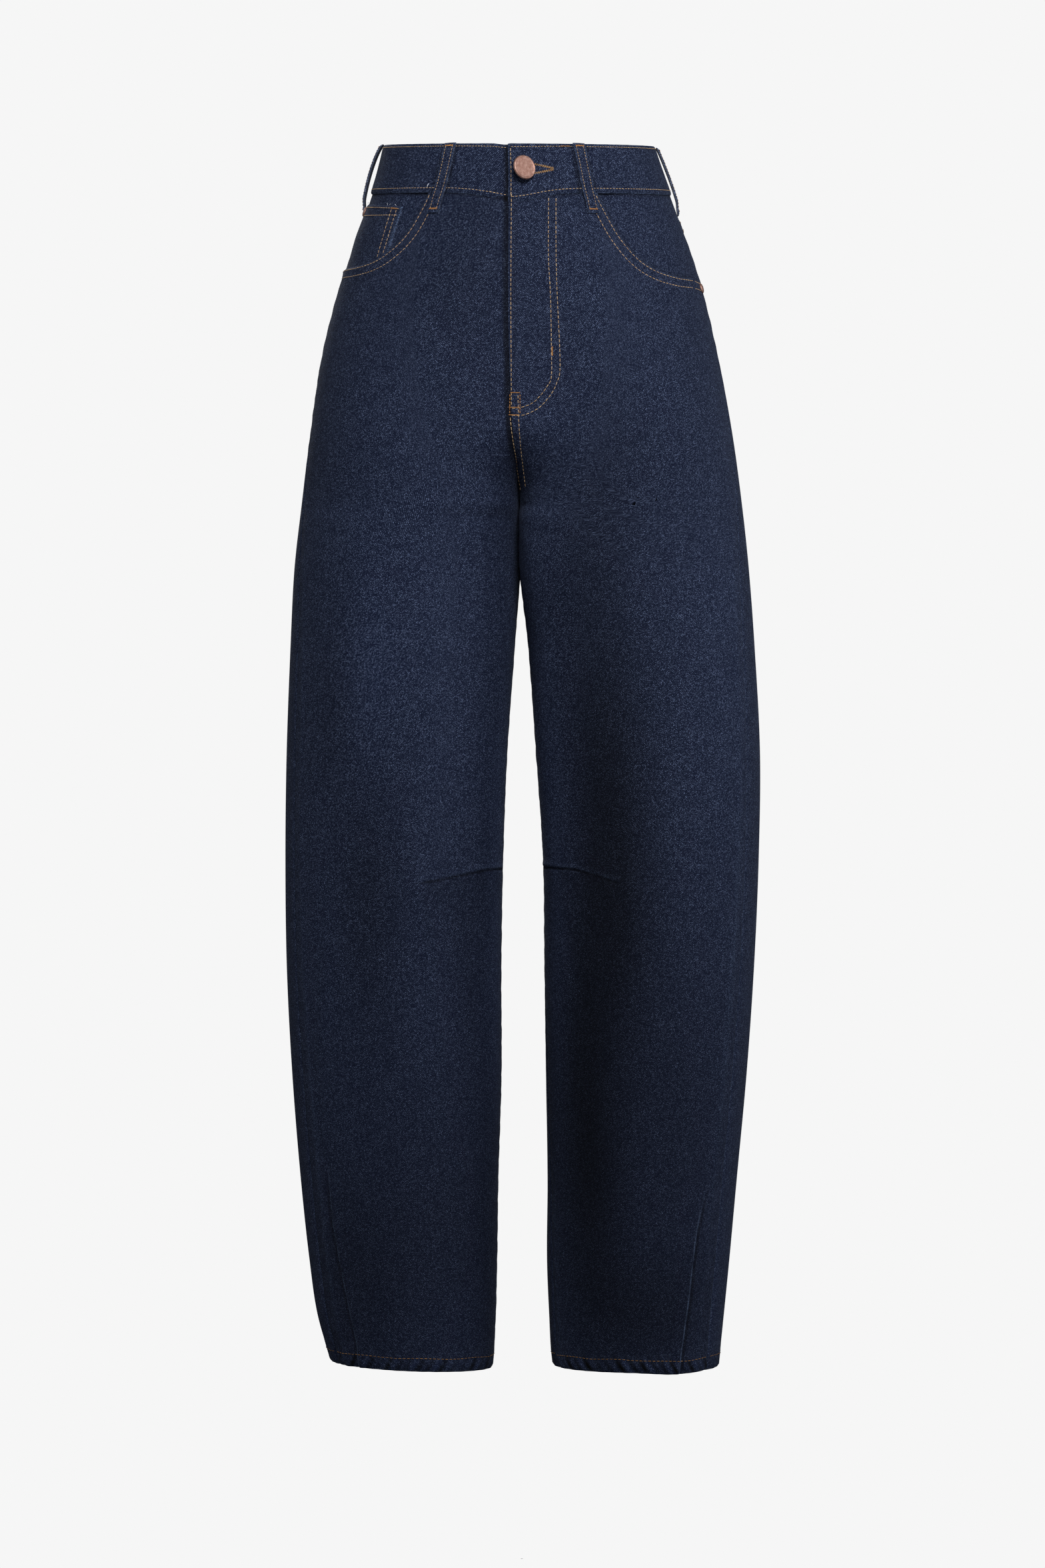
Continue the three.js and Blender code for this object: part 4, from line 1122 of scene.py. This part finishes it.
for side, name in SIDES:
    lines, rows = close_at_ends(70), close_at_ends(32)
    angle, depth = panel_places(side, yoke_edges, under_band, yoke_bottom, lines, rows)
    base, out, across, length, cloth_uv = laid_out(side, angle, depth, -side)
    to_foot, from_side = length[-1:] - length, across[:, -1:] - across
    lift = yoke_lift(side, angle, depth) + seam_roll(across) + seam_roll(from_side)
    lift += seam_roll(to_foot, 0.3, 0.8)
    lift += puckers(across, to_foot - 5, 12, 0.15, 6, 0.4)
    wear = 0.25 * fade(to_foot, 0.8) + 0.2 * fade(across, 0.8) * (side > 0)
    mesh = shell(f"yoke_{name}", base, out, lift, cloth_uv, wear)
    yoke = made_piece(f"yoke_{name}_denim", mesh, INDIGO, "denim", f"yoke_{name}")
    rows = []
    for away in TWIN_ROWS:
        turn = np.linspace(*[float(edge) for edge in yoke_edges(side, 96.0 if away > 5 else 98.0)], 90)[1:-1]
        depth = yoke_seam(side, turn) - away
        points, outs = resting(side, turn, depth, yoke_lift(side, turn, depth) + ON_CLOTH)
        rows += row_of_stitches(points, outs)
    twin = []
    if side > 0:
        for away in TWIN_ROWS:
            depth = np.linspace(38, 102, 50)
            angle = angle_at(side, half_section(side, depth)[0] + away, depth, behind=True)
            twin += row_of_stitches(*resting(side, angle, depth, yoke_lift(side, angle, depth) + ON_CLOTH))
    work = sewing(f"yoke_{name}_topstitching", rows + twin, TAN_THREAD)

    lines = close_at_ends(84)
    rows = close_at_ends(250, (), (0, 0.0003, 0.001, 0.0025))
    angle, depth = panel_places(side, back_edges, back_top, hem_line, lines, rows)
    base, out, across, length, cloth_uv = laid_out(side, angle, depth, -side)
    from_side, to_hem = across[:, -1:] - across, depth[-1:] - depth
    lift = back_lift(side, angle, depth) + seam_roll(across) + seam_roll(from_side)
    lift += puckers(length, from_side - 4, 16, 0.30, 7, 1.3) + puckers(length, across - 4, 15, 0.28, 7, 2.2)
    lift += seam_roll(to_hem, 1.2, 2.4) + 0.5 * (1 - ease(to_hem, 10, 14))
    lift += puckers(across + 0.8 * to_hem, to_hem - 6, 12, 0.62, 8, 0.9)
    thick = CLOTH + 1.1 * (1 - ease(to_hem, 11, 12.5))
    wear = 0.14 * fade(from_side, 0.8) + 0.2 * fade(to_hem, 0.8)
    wear += 0.2 * fade(across, 0.8)
    outer, inner = base + out * lift[..., None], base + out * (lift - thick)[..., None]
    mesh = cloth_mesh(f"back_{name}", outer, inner, cloth_uv, {"worn": wear, "shadow": wear * 0})
    back_cloth = lift_reader(back_edges, side, lines, rows, depth, lift)
    back = made_piece(f"back_{name}_denim", mesh, INDIGO, "denim", f"back_{name}", f"back_{name}_lower")
    if side > 0:
        rows = []
        for away in TWIN_ROWS:
            depth = np.linspace(104, 292, 120)
            angle = angle_at(side, half_section(side, depth)[0] + away, depth, behind=True)
            rows += row_of_stitches(*resting(side, angle, depth, back_cloth(angle, depth) + ON_CLOTH))
        sewing("seat_seam_topstitching", rows, TAN_THREAD)
    stitches = hem_row(side, back_edges, back_cloth, lambda share: share * 19 - side)
    sewing(f"back_{name}_hem_stitching", stitches, BROWN_THREAD)


# Back pockets. A plain pointed patch on each back, hemmed along the top and sewn round with twin rows.
def back_pocket_places(side, u, v):
    top = 122 - 8 * u
    foot = np.interp(u, (0, 0.46, 1), (242, 262, 236))
    foot = foot - 1.5 * fade(u - 0.46, 0.06)
    depth = top + (foot - top) * v
    left, right = 24 + 7 * (depth - 122) / 120, 138 - 7 * (depth - 114) / 122
    return angle_at(side, side * (left + (right - left) * u), depth, behind=True), depth


def back_pocket_lift(side, angle, depth, u, v):
    crown = 1.6 * np.sin(np.pi * u) * np.sin(np.pi * np.clip(v, 0, 1)) ** 0.7
    return back_lift(side, angle, depth) + 0.35 + CLOTH + crown


for side, name in SIDES:
    u, v = np.meshgrid(close_at_ends(52), close_at_ends(60))
    angle, depth = back_pocket_places(side, u, v)
    base, out, across, length, cloth_uv = laid_out(side, angle, depth, -side)
    rim = np.minimum(np.minimum(across, across[:, -1:] - across), np.minimum(length, length[-1:] - length))
    lift = back_pocket_lift(side, angle, depth, u, v) + seam_roll(rim, 0.45, 0.9)
    lift += 0.5 * (1 - ease(length, 15, 17)) + puckers(length + across, rim - 5, 12, 0.16, 6, side)
    wear = 0.35 * fade(rim, 0.8)
    mesh = shell(f"back_pocket_{name}", base, out, lift, cloth_uv, wear)
    pocket = made_piece(f"back_pocket_{name}_denim", mesh, INDIGO, "denim", f"back_pocket_{name}")
    rows = []
    t = np.linspace(0, 1, 80)
    for edge in (0.018, 0.073):
        foot = 1 - edge * 0.9
        round_it = [(edge + 0 * t, t), (edge + (1 - 2 * edge) * t, foot + 0 * t), (1 - edge + 0 * t, 1 - t)]
        for a, b in round_it:
            b = np.clip(b, 0.02, foot)
            angle, depth = back_pocket_places(side, a, b)
            lift = back_pocket_lift(side, angle, depth, a, b) + 0.15
            rows += row_of_stitches(*resting(side, angle, depth, lift))
    for down in (0.022, 0.115):
        a, b = 0.02 + 0.96 * t, np.full(80, down)
        angle, depth = back_pocket_places(side, a, b)
        lift = back_pocket_lift(side, angle, depth, a, b) + 0.15 + 0.5 * (1 - ease(down * 125, 15, 17))
        rows += row_of_stitches(*resting(side, angle, depth, lift))
    work = sewing(f"back_pocket_{name}_topstitching", rows, TAN_THREAD)


# Waistband. One straight strip folded double, stiff and a little proud of the body. Its left end laps over
# its right end at the front. A row of stitches runs near each edge and down the end that laps over.
BAND_PROUD, BAND_WALL = 1.5, 2.7
BAND_ROWS = ((2.6, 2.45), (37.4, 3.0))
LAP_TURN, LAP_END_TURN, LAP_DROOP = -2.4, 356.9, 2.3
WAIST_DEGREE = 1.87


def around_waist(turn, depth_at, out):
    """A place on the waist by its turn in degrees from the centre front towards the wearer's left."""
    wrapped = np.mod(turn, 360)
    side = np.where(wrapped <= 180, 1, -1)
    share = np.where(side > 0, wrapped, 360 - wrapped) / 180
    depth = depth_at(side, (share - 0.5) * math.pi) if callable(depth_at) else depth_at + 0 * share
    angle = (2 * share - 1) * fork(depth)
    outs = outward(side, angle, depth)
    return cloth_face(side, angle, depth) + outs * np.asarray(out)[..., None], outs


def lap_droop(turn):
    """The end that laps over hangs a little lower than the one below it."""
    return LAP_DROOP * fade(turn - LAP_TURN, 9) * (turn < 180)


def band_level(share, droop=0.0):
    """The depth of a level on the band, from 0 at its top edge to 1 at its foot."""

    def level(side, angle):
        top = band_top(side, angle)
        return top + (band_seam(side, angle) - top + droop) * share

    return level


def tuck(turn):
    return ease(turn, 351, 356.6) * (BAND_WALL + 0.3)


lap_turns = [LAP_TURN, LAP_TURN + 0.06, LAP_TURN + 0.25]
turns = np.concatenate([lap_turns, np.linspace(-1.9, 375, 520)])
shares = close_at_ends(20, (), (0, 0.008, 0.03, 0.07))
turn, share = np.meshgrid(turns, shares)
points, outs = around_waist(turn, band_level(share, lap_droop(turn)), BAND_PROUD)
from_end = (turn - LAP_TURN) * 1.9
down = share * BAND_HEIGHT
edge = np.minimum(down, BAND_HEIGHT - down)
lift = -tuck(turn) + seam_roll(edge, 0.7, 1.1) + seam_roll(from_end, 0.7, 1.2)
place = turn * WAIST_DEGREE
lift += puckers(place, down - 36, 10, 0.17, 5, 0.3) + puckers(place, down - 3, 12, 0.13, 5, 1.1)
lift += (0.35 * np.sin(place / 31) + 0.22 * np.sin(place / 13 + 1)) * np.sin(np.pi * share)
lift -= 0.25 * (fade(down - 37, 0.8) + fade(down - 2.6, 0.8))
outer = points + outs * lift[..., None]
inner = points + outs * (-tuck(turn) - BAND_WALL + 0.25 * fade(edge, 0.8))[..., None]
cloth_uv = np.stack([place, -down], -1)
wear = 0.3 * fade(down, 0.8) + 0.3 * fade(edge, 0.8) + 0.3 * fade(from_end, 0.9)
dim = fade(np.maximum(0, LAP_END_TURN - turn), 0.9) * (turn < 357.6)
# Shade on both sides of the two front loops
for loop_turn in (26.9 + 0.5 * share, 333.4 - 2.7 * share):
    dim += 0.75 * fade(np.abs(turn - loop_turn) * WAIST_DEGREE - 5.9, 1.0)
mesh = cloth_mesh("waistband", outer, inner, cloth_uv, {"worn": wear, "shadow": dim})
waistband = made_piece("waistband_denim", mesh, INDIGO, "denim", "waistband")
rows = []
for down, pitch in BAND_ROWS:
    turn = np.linspace(LAP_TURN + 1.1, 357.0, 1400)
    level = band_level(down / BAND_HEIGHT, lap_droop(turn))
    rows += row_of_stitches(*around_waist(turn, level, BAND_PROUD + 0.02 - tuck(turn)), pitch, 0.7, 0.56)
share = np.linspace(0.08, 0.90, 60)
level = band_level(share, lap_droop(LAP_TURN))
points, outs = around_waist(np.full(60, LAP_TURN + 1.1), level, BAND_PROUD + 0.1)
rows += row_of_stitches(points, outs)
band_rows = sewing("waistband_topstitching", rows, TAN_THREAD)
points, outs = around_waist(np.array([21.0, 21.6]), band_level(0.06), BAND_PROUD + 0.3)
lint_at, lint_out = around_waist(np.array([325.4, 325.8]), band_level(0.86), BAND_PROUD + 0.4)
fleck = (lint_at[0], np.array([0.5, 0, 1.0]), lint_out[0], 3.2, 0.8)
lint = sewing("waistband_lint", [fleck], PALE_THREAD)
back_tack = sewing("waistband_backtack", bar_of_stitches(points, outs, 8, 0.9), GOLD_THREAD)


# Buttonhole. A keyhole slit in the waistband's upper end, pulled open to a V by the button and edged with
# close zigzag stitches that meet in a bartack on the wearer's left.
BUTTON_DEPTH = 34.6
HOLE_START, HOLE_END, HOLE_OPEN = 3.0, 14.6, 5.0


def hole_reach(turn):
    """Half the buttonhole's opening, in mm."""
    return HOLE_OPEN * np.clip((HOLE_END - turn) / (HOLE_END - HOLE_START), 0, 1) ** 0.85


HOLE_DEPTH = BUTTON_DEPTH - 0.9
hole_stitches = []
for lower in (-1, 1):
    for k in range(30):
        turn = HOLE_START + (HOLE_END - HOLE_START) * k / 30
        level = HOLE_DEPTH + lower * (hole_reach(turn) + 0.5)
        points, outs = around_waist(np.array([turn, turn + 0.25]), level, BAND_PROUD + 0.2)
        ahead = points[1] - points[0]
        across = np.cross(outs[0], ahead / np.linalg.norm(ahead))
        hole_stitches.append((points[0], across + ahead * (0.9 if k % 2 else -0.9), outs[0], 2.8, 0.62))
points, outs = around_waist(np.array([14.7, 15.3]), HOLE_DEPTH, BAND_PROUD + 0.3)
points[1] = points[0] + np.cross(outs[0], points[1] - points[0])
hole_stitches += bar_of_stitches(points, outs, 3.2, 1.6)
HOLE_THREAD = thread("buttonhole_thread", colour(196, 154, 102), colour(112, 82, 50))
buttonhole = sewing("buttonhole_stitching", hole_stitches, HOLE_THREAD)
# The open slit is a thin sheet painted in full shade, standing for the dark opening.
hole_turn, hole_open = np.meshgrid(np.linspace(HOLE_START, HOLE_END - 0.3, 30), np.linspace(-1, 1, 7))
hole_depth = HOLE_DEPTH + hole_open * (hole_reach(hole_turn) + 0.1)
points, outs = around_waist(hole_turn, hole_depth, BAND_PROUD)
deep = 0.22 + 0 * hole_turn
mesh = cloth_mesh(
    "buttonhole_slit", points + outs * deep[..., None], points + outs * (deep - 0.3)[..., None],
    np.stack([hole_turn, hole_open], -1), {"worn": deep * 0, "shadow": deep * 0 + 1.3},
)
slit = made_piece("buttonhole_slit", mesh, INDIGO, "denim")


# Belt loops. Five strips of denim with both edges folded under, sewn with twin rows and held to the
# waistband by a bartack at each end. The two at the sides stand away from the band.
LOOP_WIDTH, LOOP_WALL = 10, 1.5
LOOP_LINES = [-0.5, -0.49, -0.46, -0.38, -0.2, 0, 0.2, 0.38, 0.46, 0.49, 0.5]
# Name, side, angle at the top and at the foot in degrees, how far the loop bows out, and how far below the
# band's top edge it starts
LOOPS = [
    ("belt_loop_front_right", -1, -63.4, -60.7, 0.9, 0.2),
    ("belt_loop_front_left", 1, -63.1, -62.6, 0.9, 0.2),
    ("belt_loop_side_right", -1, 3, 3, 5.2, 0.2),
    ("belt_loop_side_left", 1, 3, 3, 2.0, 2.2),
    ("belt_loop_back", 1, 90, 90, 1.6, 0.2),
]
for name, side, top, foot, bow, low in LOOPS:
    t, w = np.meshgrid(np.linspace(0, 1, 48), LOOP_LINES, indexing="ij")

    def loop_places(t, w, extra):
        centre = np.radians(top + (foot - top) * t)
        start = band_top(side, centre) + low
        depth = start + (band_seam(side, centre) + 17 - start) * t
        angle = centre + w * LOOP_WIDTH / arc_reach(side, centre, depth)
        on_band = 1 - ease(t, 0.78, 0.95)
        stand = 0.3 + BAND_PROUD * on_band + bow * np.sqrt(np.maximum(0, np.sin(np.pi * t)))
        return resting(side, angle, depth, stand + extra)

    rounded = -0.45 * np.clip(np.abs(w) * 2 - 0.78, 0, 1) ** 2 / 0.22**2 * 0.22
    ends = -0.5 * (fade(t, 0.02) + fade(1 - t, 0.02))
    crown = 0.16 * (1 - (2 * w) ** 2) + puckers(t * 62, np.abs(w * 10) - 3.2, 7, 0.12, 2, top)
    outer, _ = loop_places(t, w, LOOP_WALL + rounded + ends + crown)
    inner, _ = loop_places(t, w, 0 * t)
    wear = 0.42 * fade(0.5 - np.abs(w), 0.06) + 0.3 * fade(t * (1 - t), 0.015)
    cloth_uv = np.stack([w * LOOP_WIDTH, -62 * t], -1)
    mesh = cloth_mesh(name, outer, inner, cloth_uv, {"worn": wear, "shadow": wear * 0})
    loop = made_piece(f"{name}_denim", mesh, INDIGO, "denim", name)
    rows = []
    for w in (-0.30, 0.30):
        places = loop_places(np.linspace(0.04, 0.95, 60), np.full(60, w), LOOP_WALL + 0.2)
        rows += row_of_stitches(*places, 2.64, 0.7, 0.5)
    loop_rows = sewing(f"{name}_topstitching", rows, TAN_THREAD)
    tacks = []
    for t in (0.045, 0.945):
        tacks += bar_of_stitches(*loop_places(np.full(2, t), np.array([0, 0.05]), LOOP_WALL + 0.35), 7.4, 1.5)
    loop_tacks = sewing(f"{name}_bartacks", tacks, GOLD_THREAD)


# Zip and fly shield, both hidden under the fly. The zip is a plain closed tape with a row of small metal
# teeth, and the shield is one layer of denim behind it.
FLY_LENGTH, MM_A_DEGREE = 163, 1.9


def fly_level(level, start=0):
    return lambda side, angle: band_seam(side, angle) + start + FLY_LENGTH * level


def fly_strip(turns, levels, out):
    """Places and flat-cloth coordinates of a strip that hangs under the fly."""
    turn, level = np.meshgrid(turns, levels)
    return *around_waist(turn, fly_level(level, -1), out), np.stack([turn * MM_A_DEGREE, -160 * level], -1)


points, outs, cloth_uv = fly_strip(np.linspace(-3, 12, 24), np.linspace(0, 1, 60), -3.6)
mesh = shell("fly_shield", points, outs, np.zeros(points.shape[:2]), cloth_uv, np.zeros(points.shape[:2]))
shield = made_piece("fly_shield_denim", mesh, INDIGO, "denim_inner", "fly_shield")


def woven_tape(name, ground):
    """Dark cotton zip tape with fine cross ribs."""
    material, tree = empty_material(name)
    flat = add_node(tree, "ShaderNodeUVMap", uv_map="cloth").outputs[0]
    rib = {"Vector": flat, "Scale": 330, "Distortion": 0.6}
    ribs = add_node(tree, "ShaderNodeTexWave", rib, bands_direction="Y").outputs["Fac"]
    shade = mix(tree, ribs, tuple(0.6 * c for c in ground[:3]) + (1,), ground)
    normal = bumps(tree, ribs, 0.4, 0.0002)
    return surface(material, {"Base Color": shade, "Roughness": 0.85, "Normal": normal})


points, outs, cloth_uv = fly_strip(np.linspace(-1, 9, 18), np.linspace(0, 1, 60), -2.1)
mesh = cloth_mesh("fly_zip", points, points - outs * 0.8, cloth_uv, {})
tape = made_piece("fly_zip_tape", mesh, woven_tape("zip_cotton", colour(30, 33, 46)), "zip_tape", "fly_zip")


def rose_copper(name, scale, dull):
    """Copper-plated brass with a soft brushed finish and a few darker rubbed spots."""
    material, tree = empty_material(name)
    place = add_node(tree, "ShaderNodeTexCoord").outputs["Object"]
    spots = noise(tree, place, scale, 4, 0.65)
    fine = noise(tree, place, scale * 9, 2)
    metal = mix(tree, remap(tree, spots, 0.35, 0.68), colour(160, 118, 104), colour(196, 160, 148))
    rough = remap(tree, fine, 0.3, 0.7, dull - 0.06, dull + 0.1)
    brushed = bumps(tree, fine, 0.25, 0.0001)
    return surface(material, {"Base Color": metal, "Metallic": 0.85, "Roughness": rough, "Normal": brushed})


COPPER = rose_copper("rose_copper", 420, 0.52)
zip_teeth = []
for k in range(70):
    for turn in (3.6, 4.4):
        level = 0.04 + 0.92 * (k + (0.5 if turn > 4 else 0)) / 70
        points, outs = around_waist(np.array([turn, turn + 0.3]), fly_level(level), -1.9)
        zip_teeth.append((points[0], points[1] - points[0], outs[0], 1.8, 1.1))
teeth = made_piece("fly_zip_teeth", thread_mesh("fly_zip_teeth", zip_teeth, 4), COPPER, "rose_copper")


# Button. A copper-coloured jeans button on a shank, leaning towards the wearer's left. Its face is plain,
# slightly dished inside a rounded rim. Two small rivets of the same metal hold the pockets' corners.
def turned_metal(name, profile, place, direction, node, around=72):
    mesh = ring_mesh(name, [(max(r, 0.001) * MM, h * MM) for r, h in profile], around)
    mesh.transform(Vector(direction).to_track_quat("Z", "Y").to_matrix().to_4x4())
    mesh.transform(Matrix.Translation(Vector(place) * MM))
    made_piece(name, mesh, COPPER, "rose_copper", node)


BUTTON_RADIUS, BUTTON_LEAN, BUTTON_TURN = 10.2, 31, 3.5
straight = outward(1, np.array(math.radians(BUTTON_TURN - 90)), np.array(BUTTON_DEPTH))
lean = math.radians(BUTTON_LEAN)
leaned = np.array(
    [
        straight[0] * math.cos(lean) - straight[1] * math.sin(lean),
        straight[0] * math.sin(lean) + straight[1] * math.cos(lean),
        straight[2],
    ]
)
cap_lift = BAND_PROUD + 0.3 + BUTTON_RADIUS * math.sin(lean)
cap_foot, _ = around_waist(np.array(BUTTON_TURN), lambda side, angle: BUTTON_DEPTH, cap_lift)
r = BUTTON_RADIUS
cap_profile = [
    (0.01, -3.4), (2.3, -3.4), (2.3, -0.4), (3.2, 0), (r - 1.1, 0), (r - 0.45, 0.15), (r - 0.08, 0.6),
    (r, 1.1), (r - 0.05, 1.6), (r - 0.3, 2.1), (r - 0.75, 2.5), (r - 1.15, 2.6), (r - 1.5, 2.5),
    (r - 1.75, 2.3), (r - 2.1, 2.22), (r * 0.6, 2.28), (r * 0.3, 2.34), (0.01, 2.36),
]
turned_metal("jeans_button", cap_profile, cap_foot, leaned, "button")

RIVETS = [("rivet_coin_pocket", -1, -7, 57.5, 0.9), ("rivet_left_mouth", 1, -7.6, 122.5, 0.35)]
r = 4.25
rivet_profile = [
    (0.01, -0.4), (r - 0.2, -0.4), (r, 0.1), (r - 0.05, 0.5), (r - 0.5, 0.95), (r - 1.1, 1.2),
    (r * 0.5, 1.5), (1.5, 1.6), (1.1, 1.4), (0.8, 1.2), (0.01, 1.15),
]
for name, side, angle, depth, out in RIVETS:
    angle, depth = np.array(math.radians(angle)), np.array(depth)
    place, direction = resting(side, angle, depth, out)
    turned_metal(f"{name}_copper", rivet_profile, place, direction, name, 40)
